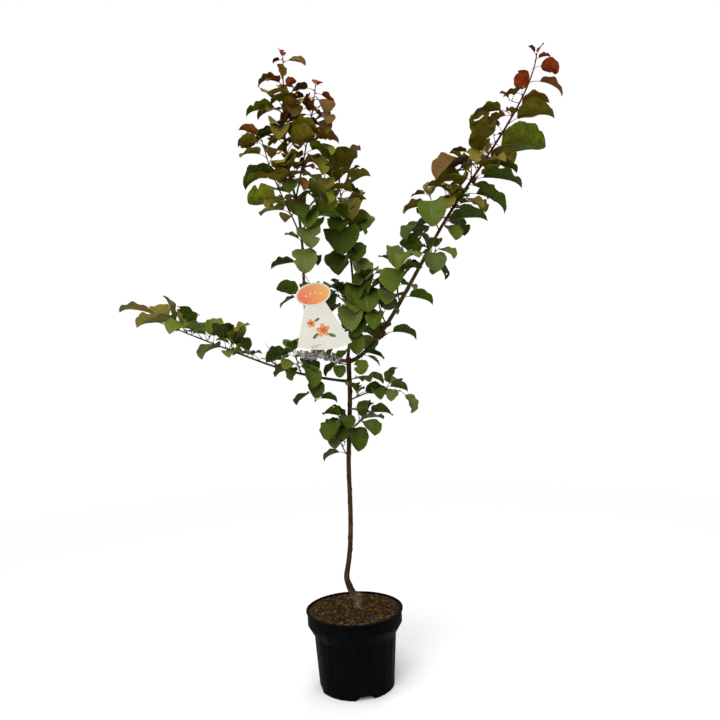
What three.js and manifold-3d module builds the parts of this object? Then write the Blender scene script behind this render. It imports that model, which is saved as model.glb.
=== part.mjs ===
// A young apricot tree in a black nursery pot, with a hang tag on one bough.
// Millimetres, +Z up. The origin is the centre of the pot's flat underside, and the tag faces -Y.
import * as THREE from "three";
import { mergeVertices } from "three/addons/utils/BufferGeometryUtils.js";
import Module from "manifold-3d";

const wasm = await Module();
wasm.setup();

// Clearance between two pieces that touch on the real plant.
const GAP = 0.3;
const DEGREE = Math.PI / 180;
const GOLDEN_ANGLE = 137.5;
const UP = new THREE.Vector3(0, 0, 1);

const POT = {
  facets: 32,
  rimRadius: 121.5,
  rimHeight: 190,
  lip: 3,
  collarRadius: 118.5,
  collarFoot: 158,
  shoulderRadius: 102.5,
  shoulderHeight: 131,
  footRadius: 93.5,
  wall: 2.6,
  floor: 3,
  channelInner: 55,
  channelOuter: 88,
  channelSlope: 3,
  channelHeight: 10,
};
const NOTCH = { count: 4, turn: 12.7, foot: 47, top: 27, height: 9.5, depth: 18 };
const SOIL = { height: 182, edgeDrop: 1.5, flatRadius: 60 };

// Stations up the trunk from the soil to the fork: x, y, z and radius.
const TRUNK = [
  [9, 23, SOIL.height + GAP, 14],
  [9, 23, 188, 11.8],
  [6, 24, 200, 10.4],
  [-2, 24, 217, 9.2],
  [-11, 23, 236, 8.2],
  [-17, 22, 258, 7.2],
  [-15, 21, 278, 6.7],
  [-10, 20, 304, 6.3],
  [-4, 18, 356, 6.1],
  [-1, 14, 445, 5.8],
  [-1, 10, 548, 5.7],
  [5, 7, 649, 5.6],
  [9, 5, 725, 5.7],
  [9, 3, 788, 6.0],
  [9, 2, 820, 6.4],
];
// The old rootstock was cut off just above the graft, beside the trunk.
const STUB = { from: [9.5, 22, SOIL.height + GAP], to: [11, 22, 217], radius: [12, 9.6] };
const TRUNK_FACETS = 12;

// Each bough is one curve with four guide points, and tapers from its root to its tip. One that
// follows another starts at its tip in its direction, so it has only the last two points.
const BOUGHS = {
  bough_left: {
    curve: [[5, 5, 760], [-55, -5, 768], [-130, -20, 785], [-199, -34, 814]],
    radius: [3.7, 2.5],
  },
  bough_right: {
    curve: [[9, 2, 809], [80, 3, 826], [150, 20, 965], [248, 38, 1127]],
    radius: [4.8, 3.2],
  },
  bough_upper_left_foot: {
    curve: [[9, 2, 811], [-45, -8, 814], [-80, -14, 838], [-87, -20, 880]],
    radius: [4.4, 3.8],
  },
  bough_upper_left: {
    curve: [[-76, -48, 1090], [-110, -62, 1241]],
    radius: [3.8, 2.9],
    follows: "bough_upper_left_foot",
  },
  bough_center: {
    curve: [[7, 5, 815], [15, 14, 880], [34, 50, 980], [24, 80, 1071]],
    radius: [3.9, 2.7],
  },
};
// Share of its length over which a limb keeps the direction of the one that it follows.
const LEAD = 0.3;
const BOUGH = { facets: 8, steps: 9 };

// A mass grows from one stem. follows names the bough whose tip the stem carries on from, and
// without it the stem stands on the side of a limb. Leaves and twigs that give the crown its
// outline are placed as [share along the stem, bearing, rise, length, roll]; a bearing of 0 is +X
// and 90 is +Y. more is how many further leaves the seeded rule adds, blade their length at the
// stem's foot and tip, forward how far they lean along the stem there, and lift how far upwards.
const MASSES = {
  foliage_right_top: {
    curve: [[513, 78, 1465], [537, 88, 1606]],
    follows: "bough_right",
    radius: [3.2, 0.9],
    seed: 11,
    more: 22,
    nodes: [0.02, 0.52],
    blade: [84, 50],
    leaves: [
      [1, 172, 50, 24], [1, 8, 54, 28], [0.95, -8, 0, 32, -30], [0.9, -20, -24, 52, 40],
      [0.82, -8, -36, 74, -8], [0.74, -70, 58, 50], [0.75, 186, -14, 40], [0.65, -16, 0, 74, 10],
      [0.57, -16, -4, 98, 12], [0.64, 182, -12, 84], [0.55, 178, 26, 46, 15], [0.42, -14, -5, 116, 26],
      [0.5, 200, -60, 32], [0.36, 190, -25, 104, 12], [0.275, -8, -16, 106], [0.217, -10, -36, 96, 14],
      [0.42, -160, -30, 76], [0.03, -15, -4, 94, 10], [0.05, -60, -50, 56], [0.14, -25, 10, 50],
      [0.22, -110, -40, 60],
    ],
    twigs: [
      { place: [0.02, 200, 76, 92], seed: 12, more: 5, blade: [76, 50],
        leaves: [[1, 184, -10, 38], [0.6, 190, -16, 62], [0.2, -150, -34, 84], [0.9, -95, -58, 84]] },
      { place: [0.3, 60, 80, 68], seed: 13, more: 3, blade: [60, 44],
        leaves: [[1, 184, 0, 46], [0.8, 200, -35, 50], [1, 20, 50, 40]] },
      { place: [0.14, 205, 70, 56], seed: 14, more: 3, blade: [70, 56],
        leaves: [[1, 200, -12, 44], [0.5, -100, -40, 50]] },
    ],
  },
  foliage_upper_left: {
    curve: [[-122, -76, 1450], [-119, -82, 1546]],
    follows: "bough_upper_left",
    radius: [2.9, 0.8],
    seed: 21,
    more: 20,
    nodes: [0.04, 0.62],
    blade: [80, 50],
    leaves: [
      [1, 130, 62, 24], [0.97, 190, -30, 20], [0.95, -5, -20, 42, -35], [0.83, 186, -30, 50, 5],
      [0.8, -40, 50, 32, 20], [0.74, -100, -20, 26], [0.72, 190, -20, 26], [0.68, 178, -40, 28],
      [0.76, -10, -20, 22], [0.57, 183, 0, 76, 5], [0.6, 225, -30, 52], [0.4, 180, -20, 56, 10],
      [0.56, 190, -18, 44, 10], [0.1, 186, -24, 90, -10], [0.06, -40, -50, 44], [0.5, -50, 10, 60],
    ],
    twigs: [],
  },
  foliage_second_leader: {
    curve: [[-107, -58, 1192], [-93, -50, 1262], [-58, -36, 1400], [-46, -22, 1502]],
    radius: [2.4, 0.8],
    seed: 31,
    more: 18,
    nodes: [0.04, 0.75],
    blade: [80, 56],
    leaves: [
      [1, 60, 60, 18], [0.97, -20, 10, 18], [0.88, 190, -30, 62, 10], [0.92, -10, -52, 46],
      [0.74, -58, -38, 68, 15], [0.8, -140, -40, 72], [0.66, -42, -36, 64], [0.45, -35, -20, 66],
      [0.55, -70, -50, 70], [0.4, -50, -42, 70], [0.33, -40, -15, 32, -20], [0.3, -20, 30, 62],
      [0.2, -45, -42, 80], [0.86, -105, -50, 60],
    ],
    twigs: [],
  },
  foliage_upper_left_side: {
    curve: [[-93, -52, 1112], [-115, -62, 1180], [-155, -85, 1240], [-174, -104, 1341]],
    radius: [2.1, 0.8],
    seed: 41,
    more: 8,
    nodes: [0.2, 0.85],
    blade: [70, 48],
    leaves: [
      [1, 176, 12, 47], [0.99, 186, -22, 46], [0.95, 188, -15, 50, -35], [0.9, 10, 25, 44],
      [0.85, 215, -14, 54], [0.8, -60, 0, 44], [0.42, 178, -6, 72, -45], [0.28, 183, -2, 68, 25],
    ],
    twigs: [],
  },
  foliage_upper_left_inner: {
    curve: [[-92, -52, 1134], [-62, -42, 1170], [-40, -25, 1230], [-26, -15, 1302]],
    radius: [2.1, 0.8],
    seed: 51,
    more: 8,
    blade: [84, 60],
    leaves: [
      [0.03, -70, -50, 70], [0.2, -30, -15, 76, 25], [0.4, -60, -35, 70], [0.5, 30, 40, 58],
      [0.8, -110, -40, 56],
    ],
    twigs: [],
  },
  foliage_tag_top: {
    curve: [[-89, -47, 1088], [-91, -58, 1096], [-92, -68, 1102], [-93, -78, 1104]],
    radius: [1.8, 1.0],
    seed: 56,
    more: 0,
    blade: [60, 50],
    leaves: [[0.3, -80, -66, 68], [0.5, 165, 20, 38]],
    twigs: [],
  },
  foliage_tag_side: {
    curve: [[-90, -40, 1046], [-94, -34, 1050], [-99, -28, 1054], [-104, -22, 1057]],
    radius: [1.8, 1.0],
    seed: 61,
    more: 0,
    blade: [70, 60],
    leaves: [[0.15, 183, -12, 62], [0.5, 60, -4, 56]],
    twigs: [],
  },
  foliage_tag_behind: {
    curve: [[-87, -33, 962], [-92, -26, 967], [-98, -18, 971], [-104, -12, 974]],
    radius: [1.8, 1.0],
    seed: 66,
    more: 0,
    blade: [70, 60],
    leaves: [[0.9, 200, -34, 46], [0.5, 182, 12, 56, -40], [0.7, 60, 20, 56]],
    twigs: [],
  },
  foliage_center_top: {
    curve: [[2, 118, 1250], [-6, 128, 1355]],
    follows: "bough_center",
    radius: [2.7, 0.8],
    seed: 71,
    more: 14,
    nodes: [0.28, 0.9],
    blade: [86, 66],
    leaves: [
      [0.9, -10, 30, 30, -40], [0.68, -40, -20, 58, 20], [0.72, -110, -45, 66], [0.62, -70, -50, 76],
      [0.22, 30, 40, 80, -50], [0.36, -95, -50, 104], [0.07, -125, -45, 80], [0.06, -72, -58, 74],
      [0.15, 30, 40, 46, -45], [0.6, 188, 10, 84], [0.5, -20, 20, 56], [0.97, 100, 40, 38],
    ],
    twigs: [],
  },
  foliage_center_left: {
    curve: [[23, 36, 938], [10, 30, 956], [-4, 22, 972], [-22, 14, 986]],
    radius: [2.0, 1.0],
    seed: 81,
    more: 8,
    blade: [84, 70],
    leaves: [[1, -100, -60, 42], [0.5, -112, -35, 64], [0.12, -80, -60, 76], [0.05, 70, 58, 70]],
    twigs: [],
  },
  foliage_center_right: {
    curve: [[24, 40, 950], [36, 37, 966], [46, 32, 984], [52, 28, 1006]],
    radius: [2.0, 1.0],
    seed: 91,
    more: 9,
    blade: [72, 60],
    leaves: [[0.35, 30, 58, 64, -45], [0.85, -80, -50, 80], [0.1, -50, -50, 84]],
    twigs: [],
  },
  foliage_center_front: {
    curve: [[17, 20, 888], [29, 6, 880], [38, -6, 874], [45, -18, 867]],
    radius: [1.9, 1.0],
    seed: 101,
    more: 7,
    blade: [76, 64],
    leaves: [[0.3, -50, -20, 60, 20], [0.1, -75, -66, 56]],
    twigs: [],
  },
  foliage_right_inner: {
    curve: [[145, 16, 956], [134, 4, 986], [136, -8, 1026], [152, -16, 1060]],
    radius: [2.1, 0.9],
    seed: 111,
    more: 7,
    blade: [70, 56],
    leaves: [
      [1, -100, -30, 82], [0.8, -105, -50, 80], [0.5, -168, -30, 68], [0.7, 5, 28, 60],
      [0.04, -10, -20, 66, 26],
    ],
    twigs: [],
  },
  foliage_right_bough: {
    curve: [[206, 28, 1057], [216, 14, 1060], [228, 2, 1068], [240, -8, 1080]],
    radius: [1.9, 0.9],
    seed: 251,
    more: 4,
    blade: [62, 50],
    leaves: [[0.95, -98, -60, 60], [0.9, 60, 50, 36], [0.35, -80, -55, 50], [0.2, 200, 30, 60, -45]],
    twigs: [],
  },
  foliage_right_low: {
    curve: [[108, 10, 901], [97, 0, 920], [90, -8, 944], [88, -14, 968]],
    radius: [1.9, 1.0],
    seed: 121,
    more: 8,
    blade: [76, 62],
    leaves: [[0.5, -112, -50, 56], [0.95, -130, -50, 52], [0.3, 30, 56, 50, -40]],
    twigs: [],
  },
  foliage_right_outer: {
    curve: [[89, 5, 868], [97, -1, 868], [105, -6, 872], [111, -10, 878]],
    radius: [1.8, 0.9],
    seed: 131,
    more: 0,
    blade: [70, 60],
    leaves: [[0.4, -10, -18, 66, 10]],
    twigs: [],
  },
  foliage_left_tip: {
    curve: [[-370, -64, 889], [-465, -70, 931]],
    follows: "bough_left",
    radius: [2.5, 0.8],
    seed: 141,
    more: 14,
    blade: [70, 60],
    lift: 0.4,
    forward: [0.5, 0.9],
    leaves: [
      [0.9, 178, 8, 84, -10], [0.76, 198, -6, 84], [0.57, 200, -4, 90], [0.86, 168, 38, 56, 20],
      [0.7, 115, 60, 54], [0.47, 84, 62, 54], [0.3, 76, 44, 60], [0.34, 215, -26, 64],
      [0.36, 172, 40, 60], [0.04, 186, 4, 60],
    ],
    twigs: [],
  },
  foliage_left_inner: {
    curve: [[-110, -16, 785], [-115, -20, 800], [-119, -24, 815], [-121, -27, 832]],
    radius: [1.7, 1.0],
    seed: 151,
    more: 6,
    blade: [62, 54],
    leaves: [
      [0.8, 165, -14, 62, -50], [0.6, -48, -60, 66], [0.9, -50, -50, 60], [0.1, 195, -20, 54, -20],
    ],
    twigs: [],
  },
  foliage_left_hanging: {
    curve: [[-79, -11, 776], [-77, -16, 757], [-77, -20, 736], [-78, -22, 712]],
    radius: [1.7, 0.9],
    seed: 161,
    more: 1,
    blade: [50, 44],
    leaves: [[0.98, -10, -14, 44, 20], [0.1, -80, -60, 48]],
    twigs: [],
  },
  foliage_fork_right: {
    curve: [[31, 3, 826], [36, -5, 824], [41, -12, 822], [45, -19, 821]],
    radius: [1.6, 0.9],
    seed: 171,
    more: 1,
    blade: [50, 44],
    leaves: [[0.3, -8, -20, 52, 10], [0.9, -100, -72, 40]],
    twigs: [],
  },
  foliage_fork_left: {
    curve: [[8, 3, 800], [-2, -3, 804], [-9, -9, 806], [-15, -14, 806]],
    radius: [1.6, 0.9],
    seed: 181,
    more: 1,
    blade: [46, 42],
    leaves: [[0.6, 195, -45, 42, -40]],
    twigs: [],
  },
  foliage_trunk_upper: {
    curve: [[10, 4, 764], [28, -4, 768], [44, -12, 770], [57, -20, 768]],
    radius: [1.7, 0.9],
    seed: 191,
    more: 1,
    blade: [40, 36],
    leaves: [[0.6, -10, -28, 44, -20], [0.9, -10, -25, 32, -20], [0.25, -60, -20, 30]],
    twigs: [],
  },
  foliage_low_right: {
    curve: [[8, 5, 712], [44, -20, 728], [88, -46, 748], [132, -64, 733]],
    radius: [2.0, 0.9],
    seed: 201,
    more: 4,
    blade: [52, 44],
    leaves: [
      [1, -45, -66, 50], [0.15, -20, -12, 70, 30], [0.7, -12, -16, 46, 30], [0.75, 30, 8, 44, -20],
      [0.92, -40, -40, 36], [0.5, -70, -30, 42],
    ],
    twigs: [],
  },
  foliage_low_cluster_right: {
    curve: [[6, 7, 636], [22, -10, 650], [36, -22, 662], [48, -30, 672]],
    radius: [1.9, 1.0],
    seed: 211,
    more: 6,
    blade: [60, 52],
    leaves: [[0.9, -30, -5, 60, 25], [0.5, -60, -28, 64]],
    twigs: [],
  },
  foliage_low_cluster_left: {
    curve: [[4, 8, 629], [-4, -4, 644], [-10, -14, 660], [-14, -22, 680]],
    radius: [1.8, 0.9],
    seed: 221,
    more: 6,
    blade: [58, 48],
    leaves: [[0.75, -125, -45, 62], [0.3, 100, 60, 50], [0.4, -130, -60, 52], [0.9, -100, -35, 48]],
    twigs: [],
  },
  foliage_low_cluster_front: {
    curve: [[5, 7, 650], [10, -6, 653], [14, -18, 654], [18, -30, 653]],
    radius: [1.7, 1.0],
    seed: 231,
    more: 3,
    blade: [62, 54],
    leaves: [[0.5, -75, -58, 64]],
    twigs: [],
  },
  foliage_low_left: {
    curve: [[-1, 10, 566], [-8, 0, 582], [-15, -6, 597], [-21, -11, 613]],
    radius: [1.6, 0.9],
    seed: 241,
    more: 1,
    blade: [44, 40],
    leaves: [[0.25, 190, -26, 46], [0.98, 170, 20, 46]],
    twigs: [],
  },
};
const STEM = { facets: 5, steps: 7 };
// A twig sags by bow times its length before it turns up to its tip.
const TWIG = { facets: 4, steps: 3, radius: [1.5, 0.8], bow: 0.12, guides: [0.35, 0.7] };

const LEAF = {
  petiole: 0.4,
  petioleLift: 40,
  steepestPetiole: 62,
  petioleRadius: 0.4,
  petioleSwell: 0.008,
  halfWidth: 0.47,
  fold: [18, 42],
  arch: [0.25, 0.85],
  roll: 24,
  placedRoll: 8,
  thickness: 0.028,
  centre: 0.45,
  sinking: 0.35,
  forward: [0.1, 0.8],
  lift: -0.12,
  nodes: [0.06, 0.93],
  lastNode: 0.985,
};
// Clearance that a leaf keeps, measured from points spread over its blade and outer stalk: a
// share of the leaves' lengths and a bare distance. steps and across are the blade's grid.
const ROOM = {
  limbShare: 0.05,
  limbGap: 1.5,
  leafShare: 0.04,
  leafGap: 0.8,
  steps: 8,
  across: 4,
  stalk: [0.55, 0.8],
};
// Sideways turns that are tried in order when a leaf has no room where it would stand.
const TURNS = [0, 14, -14, 28, -28, 45, -45, 70, -70, 100, -100];

// The tag's centre is where its header meets its fan, and its strap passes round a bough.
const TAG = {
  centre: [-65, -64, 948],
  tilt: 9.4,
  thickness: 1.2,
  headerRadius: [43, 28],
  fanSink: 8,
  fanTop: 24,
  fanLength: 117,
  fanHalfAngle: 22,
  fanSkew: 0.05,
  fanSteps: 10,
  clear: 7,
  strapHeight: 1024,
  strapWire: 0.9,
  strapSlack: 0.4,
  eyeHeight: 46,
};
// Height above the fan's top at which its straight sides would meet, and its half width at the foot.
const FAN_APEX = TAG.fanTop / Math.tan((TAG.fanHalfAngle * Math.PI) / 180);
const FAN_RADIUS = FAN_APEX + TAG.fanLength;
const FAN_REACH = FAN_RADIUS * (1 + TAG.fanSkew) * Math.sin((TAG.fanHalfAngle * Math.PI) / 180);

const COLOURS = {
  pot: [0x111214, 0.45],
  soil: [0x4a3826, 0.95],
  trunk: [0x5b4231, 0.8],
  bough: [0x4a3128, 0.75],
  green: [0x3d5a1e, 0.55],
  bronze: [0x6a5a24, 0.55],
  tag: [0xf4f1ea, 0.4],
};
const BRONZE_MASSES = ["foliage_right_top", "foliage_upper_left", "foliage_second_leader"];

const vector = (p) => new THREE.Vector3(p[0], p[1], p[2]);
const mix = (pair, share) => pair[0] + (pair[1] - pair[0]) * share;

// A run of numbers from 0 to 1 that is the same for the same seed.
function seeded(seed) {
  let state = (seed * 7919) % 2147483647;
  return () => {
    state = (state * 16807) % 2147483647;
    return state / 2147483647;
  };
}

function heading(bearing, rise) {
  const level = Math.cos(rise * DEGREE);
  return new THREE.Vector3(
    level * Math.cos(bearing * DEGREE),
    level * Math.sin(bearing * DEGREE),
    Math.sin(rise * DEGREE),
  );
}

function solidOf(geometry) {
  const bare = geometry.clone();
  bare.deleteAttribute("normal");
  bare.deleteAttribute("uv");
  const merged = mergeVertices(bare, 1e-4);
  return new wasm.Manifold(
    new wasm.Mesh({
      numProp: 3,
      vertProperties: merged.attributes.position.array,
      triVerts: new Uint32Array(merged.index.array),
    }),
  );
}

// The largest piece of a solid: a loose scrap that a cut leaves is dropped.
function largest(solid) {
  return solid.decompose().reduce((a, b) => (b.volume() > a.volume() ? b : a));
}

function geometryOf(solid) {
  const mesh = solid.getMesh();
  const geometry = new THREE.BufferGeometry();
  geometry.setAttribute("position", new THREE.BufferAttribute(mesh.vertProperties, 3));
  geometry.setIndex(new THREE.BufferAttribute(mesh.triVerts, 1));
  geometry.computeVertexNormals();
  return geometry;
}

function part(name, solid, look) {
  const [color, roughness] = COLOURS[look];
  const material = new THREE.MeshStandardMaterial({ color, roughness, metalness: 0 });
  const mesh = new THREE.Mesh(geometryOf(largest(solid)), material);
  mesh.name = name;
  return mesh;
}

// Moves every vertex of a geometry to where place puts it.
function reshape(geometry, place) {
  const positions = geometry.attributes.position;
  const point = new THREE.Vector3();
  for (let i = 0; i < positions.count; i++) {
    point.fromBufferAttribute(positions, i);
    const moved = place(point);
    positions.setXYZ(i, moved.x, moved.y, moved.z);
  }
  return geometry;
}

// A point of a limb with its direction there and two cross directions.
function station(point, tangent, radius, reference) {
  const side = reference.clone().cross(tangent).normalize();
  const front = side.clone().cross(tangent);
  return { point, tangent, side, front, radius };
}

// A direction that a limb from one end to the other never runs along.
function referenceFor(from, to) {
  const run = to.clone().sub(from).normalize();
  return Math.abs(run.y) > 0.8 ? UP : new THREE.Vector3(0, 1, 0);
}

function stations(points, radii) {
  const reference = referenceFor(points[0], points[points.length - 1]);
  return points.map((point, i) => {
    const before = points[Math.max(0, i - 1)];
    const after = points[Math.min(points.length - 1, i + 1)];
    return station(point, after.clone().sub(before).normalize(), radii[i], reference);
  });
}

function curveStations(guides, radius, steps) {
  const curve = new THREE.CubicBezierCurve3(...guides);
  const reference = referenceFor(guides[0], guides[3]);
  return Array.from({ length: steps + 1 }, (_, i) => {
    const share = i / steps;
    return station(curve.getPoint(share), curve.getTangent(share), mix(radius, share), reference);
  });
}

// The four guide points of a bough or stem. One that follows another starts a gap beyond its tip.
function guidesOf(plan, boughs) {
  const points = plan.curve.map(vector);
  if (!plan.follows) return points;
  const { rings } = boughs.find((bough) => bough.name === plan.follows);
  const { point, tangent } = rings[rings.length - 1];
  const lead = point.distanceTo(points[1]) * LEAD;
  return [
    point.clone().addScaledVector(tangent, GAP),
    point.clone().addScaledVector(tangent, lead),
    ...points,
  ];
}

// A tapering limb: a cylinder whose rings are carried along the stations.
function limb(rings, facets, extra = 0) {
  const steps = rings.length - 1;
  const tube = new THREE.CylinderGeometry(1, 1, 1, facets, steps);
  reshape(tube, (p) => {
    const ring = rings[Math.round((p.y + 0.5) * steps)];
    const reach = ring.radius + extra;
    let end = 0;
    if (ring === rings[0]) end = -extra;
    if (ring === rings[steps]) end = extra;
    return ring.point.clone()
      .addScaledVector(ring.side, p.x * reach)
      .addScaledVector(ring.front, p.z * reach)
      .addScaledVector(ring.tangent, end);
  });
  return solidOf(tube);
}

// Where a share along the stations falls, with the frame of the nearest station before it.
function along(rings, share) {
  const place = Math.min(Math.max(share, 0), 0.999) * (rings.length - 1);
  const before = rings[Math.floor(place)];
  const after = rings[Math.floor(place) + 1];
  return { ...before, point: before.point.clone().lerp(after.point, place % 1) };
}

// Share of the greatest half width at t along a blade: broad near the foot, drawn out to a point.
function outline(t) {
  return (Math.pow(t, 0.55) * Math.pow(1 - t, 0.85)) / 0.3916;
}

// A leaf's blade as an arched midrib with two halves folded up along it.
function bladeOf(node, bearing, rise, length, roll, fold, arch) {
  const steep = Math.min(rise + LEAF.petioleLift, Math.max(rise, LEAF.steepestPetiole));
  const foot = node.clone().addScaledVector(heading(bearing, steep), LEAF.petiole * length);
  const chord = heading(bearing, rise);
  const level = new THREE.Vector3(Math.sin(bearing * DEGREE), -Math.cos(bearing * DEGREE), 0);
  const upper = level.clone().cross(chord);
  const c = Math.cos(roll * DEGREE);
  const s = Math.sin(roll * DEGREE);
  const side = level.clone().multiplyScalar(c).addScaledVector(upper, s);
  const normal = upper.clone().multiplyScalar(c).addScaledVector(level, -s);
  const start = chord.clone().multiplyScalar(Math.cos(arch / 2))
    .addScaledVector(normal, Math.sin(arch / 2));
  const rest = normal.clone().multiplyScalar(Math.cos(arch / 2))
    .addScaledVector(chord, -Math.sin(arch / 2));
  const midrib = (t) => foot.clone()
    .addScaledVector(start, (length * Math.sin(arch * t)) / arch)
    .addScaledVector(rest, (-length * (1 - Math.cos(arch * t))) / arch);
  const normalAt = (t) => rest.clone().multiplyScalar(Math.cos(arch * t))
    .addScaledVector(start, Math.sin(arch * t));
  const point = (t, v) => {
    const reach = LEAF.halfWidth * length * outline(t) * v;
    return midrib(t)
      .addScaledVector(side, reach * Math.cos(fold * DEGREE))
      .addScaledVector(normalAt(t), Math.abs(reach) * Math.sin(fold * DEGREE));
  };
  return { node, foot, length, midrib, normalAt, point };
}

// Points spread over a blade and the outer half of its stalk, to measure clearance from.
function samplesOf(blade) {
  const samples = [];
  const { steps, across } = ROOM;
  for (let i = 0; i <= steps; i++)
    for (let j = -across; j <= across; j++)
      if ((i > 0 && i < steps) || j === 0) samples.push(blade.point(i / steps, j / across));
  for (const share of ROOM.stalk) samples.push(blade.node.clone().lerp(blade.foot, share));
  return samples;
}

function distanceToSegment(p, a, b) {
  const run = b.clone().sub(a);
  const share = Math.min(1, Math.max(0, p.clone().sub(a).dot(run) / run.lengthSq()));
  return p.distanceTo(a.clone().addScaledVector(run, share));
}

// The point in the tag's own frame: x across it, z up it and y through it.
function inTagFrame(p) {
  const turn = TAG.tilt * DEGREE;
  const x = p.x - TAG.centre[0];
  const z = p.z - TAG.centre[2];
  return new THREE.Vector3(
    x * Math.cos(turn) + z * Math.sin(turn),
    p.y - TAG.centre[1],
    -x * Math.sin(turn) + z * Math.cos(turn),
  );
}

function nearTag(p) {
  const q = inTagFrame(p);
  const top = 2 * TAG.headerRadius[1] + TAG.clear;
  const wide = Math.abs(q.x) < FAN_REACH + TAG.clear;
  const tall = q.z > -TAG.fanLength - TAG.clear && q.z < top;
  return wide && tall && Math.abs(q.y) < TAG.clear;
}

// Every shoot of a mass: its stem and the twigs that stand on it.
function shootsOf(name, mass, boughs) {
  const stem = {
    mass: name,
    plan: mass,
    facets: STEM.facets,
    rings: curveStations(guidesOf(mass, boughs), mass.radius, STEM.steps),
  };
  const twigs = mass.twigs.map((twig) => {
    const [share, bearing, rise, length] = twig.place;
    const foot = along(stem.rings, share).point;
    const tip = foot.clone().addScaledVector(heading(bearing, rise), length);
    const [low, high] = TWIG.guides.map((reach) => foot.clone().lerp(tip, reach));
    low.addScaledVector(UP, -TWIG.bow * length);
    return {
      mass: name,
      plan: { ...mass, nodes: LEAF.nodes, ...twig },
      facets: TWIG.facets,
      rings: curveStations([foot, low, high, tip], TWIG.radius, TWIG.steps),
    };
  });
  return [stem, ...twigs];
}

// The leaves that a shoot asks for: those placed by hand, then those of the seeded rule.
function wishesOf(shoot) {
  const { plan, rings } = shoot;
  const shared = (random, roll, spread) => ({
    roll: roll + spread * (2 * random() - 1),
    fold: mix(LEAF.fold, random()),
    arch: mix(LEAF.arch, random()),
  });
  const placed = plan.leaves.map(([share, bearing, rise, length, roll = 0], i) => ({
    shoot, share, bearing, rise, length, ...shared(seeded(plan.seed * 100 + i), roll, LEAF.placedRoll),
  }));
  const grown = [];
  for (let i = 0; i < plan.more; i++) {
    const random = seeded(plan.seed * 100 + 50 + i);
    const share = mix(plan.nodes ?? LEAF.nodes, (i + 0.2 + 0.6 * random()) / plan.more);
    const turn = (plan.seed * 40 + i * GOLDEN_ANGLE + 30 * random()) * DEGREE;
    const { tangent, side, front } = along(rings, share);
    const forward = mix(plan.forward ?? LEAF.forward, share * share);
    const lean = side.clone().multiplyScalar(Math.cos(turn))
      .addScaledVector(front, Math.sin(turn))
      .addScaledVector(tangent, forward)
      .addScaledVector(UP, (plan.lift ?? LEAF.lift) + 0.5 * (random() - 0.5))
      .normalize();
    grown.push({
      shoot,
      share,
      bearing: Math.atan2(lean.y, lean.x) / DEGREE,
      rise: Math.asin(lean.z) / DEGREE,
      length: mix(plan.blade, share) * (0.8 + 0.35 * random()),
      ...shared(random, 0, LEAF.roll),
    });
  }
  return { placed, grown };
}

// Whether a leaf keeps its distance from limbs, shoots, the tag and the leaves already there.
function hasRoom(blade, shoot, limbs, leaves) {
  const samples = samplesOf(blade);
  const reach = ROOM.limbShare * blade.length + ROOM.limbGap;
  const middle = blade.midrib(LEAF.centre);
  for (const other of limbs) {
    const stalk = other === shoot ? ROOM.stalk.length : 0;
    const tests = samples.slice(0, samples.length - stalk);
    for (let i = 1; i < other.rings.length; i++) {
      const a = other.rings[i - 1];
      const b = other.rings[i];
      const span = a.point.distanceTo(b.point);
      if (distanceToSegment(middle, a.point, b.point) > blade.length + span) continue;
      const near = (p) => distanceToSegment(p, a.point, b.point) < reach + a.radius;
      if (tests.some(near)) return false;
    }
  }
  if (samples.some(nearTag)) return false;
  for (const leaf of leaves) {
    if (leaf.middle.distanceTo(middle) > leaf.length + blade.length) continue;
    const apart = ROOM.leafShare * (leaf.length + blade.length) + ROOM.leafGap;
    const near = (p) => leaf.samples.some((q) => p.distanceToSquared(q) < apart * apart);
    if (samples.some(near)) return false;
  }
  return true;
}

// The leaves of every shoot that find room, those placed by hand before those of the rule.
function growLeaves(shoots, limbs) {
  const wishes = shoots.map(wishesOf);
  const ordered = [...wishes.flatMap((w) => w.placed), ...wishes.flatMap((w) => w.grown)];
  const leaves = [];
  for (const { shoot, share, bearing, rise, length, roll, fold, arch } of ordered) {
    const node = along(shoot.rings, Math.min(share, LEAF.lastNode)).point;
    const blade = TURNS
      .map((turn) => bladeOf(node, bearing + turn, rise, length, roll, fold, arch))
      .find((option) => hasRoom(option, shoot, limbs, leaves));
    if (!blade) continue;
    leaves.push({ ...blade, shoot, middle: blade.midrib(LEAF.centre), samples: samplesOf(blade) });
  }
  return leaves;
}

// A leaf is a thin closed blade of six edges on a three-sided stalk that ends inside it.
function leafSolids(leaf) {
  const half = (LEAF.thickness * leaf.length) / 2;
  const centre = leaf.midrib(LEAF.centre);
  const normal = leaf.normalAt(LEAF.centre);
  const blade = new THREE.SphereGeometry(1, 6, 2);
  reshape(blade, (p) => {
    if (Math.abs(p.y) > 0.5) return centre.clone().addScaledVector(normal, Math.sign(p.y) * half);
    const side = Math.abs(p.z) < 1e-6 ? 0 : Math.sign(p.z);
    return leaf.point((1 + p.x) / 2, side);
  });
  const radius = LEAF.petioleRadius + LEAF.petioleSwell * leaf.length;
  const inner = leaf.foot.clone().lerp(centre, LEAF.sinking);
  const stalk = stations([leaf.node, inner], [radius, 0]);
  return [solidOf(blade), limb(stalk, 3)];
}

function lathe(profile) {
  const points = profile.map(([r, z]) => new THREE.Vector2(r, z));
  return new THREE.LatheGeometry(points, POT.facets).rotateX(Math.PI / 2);
}

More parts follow.
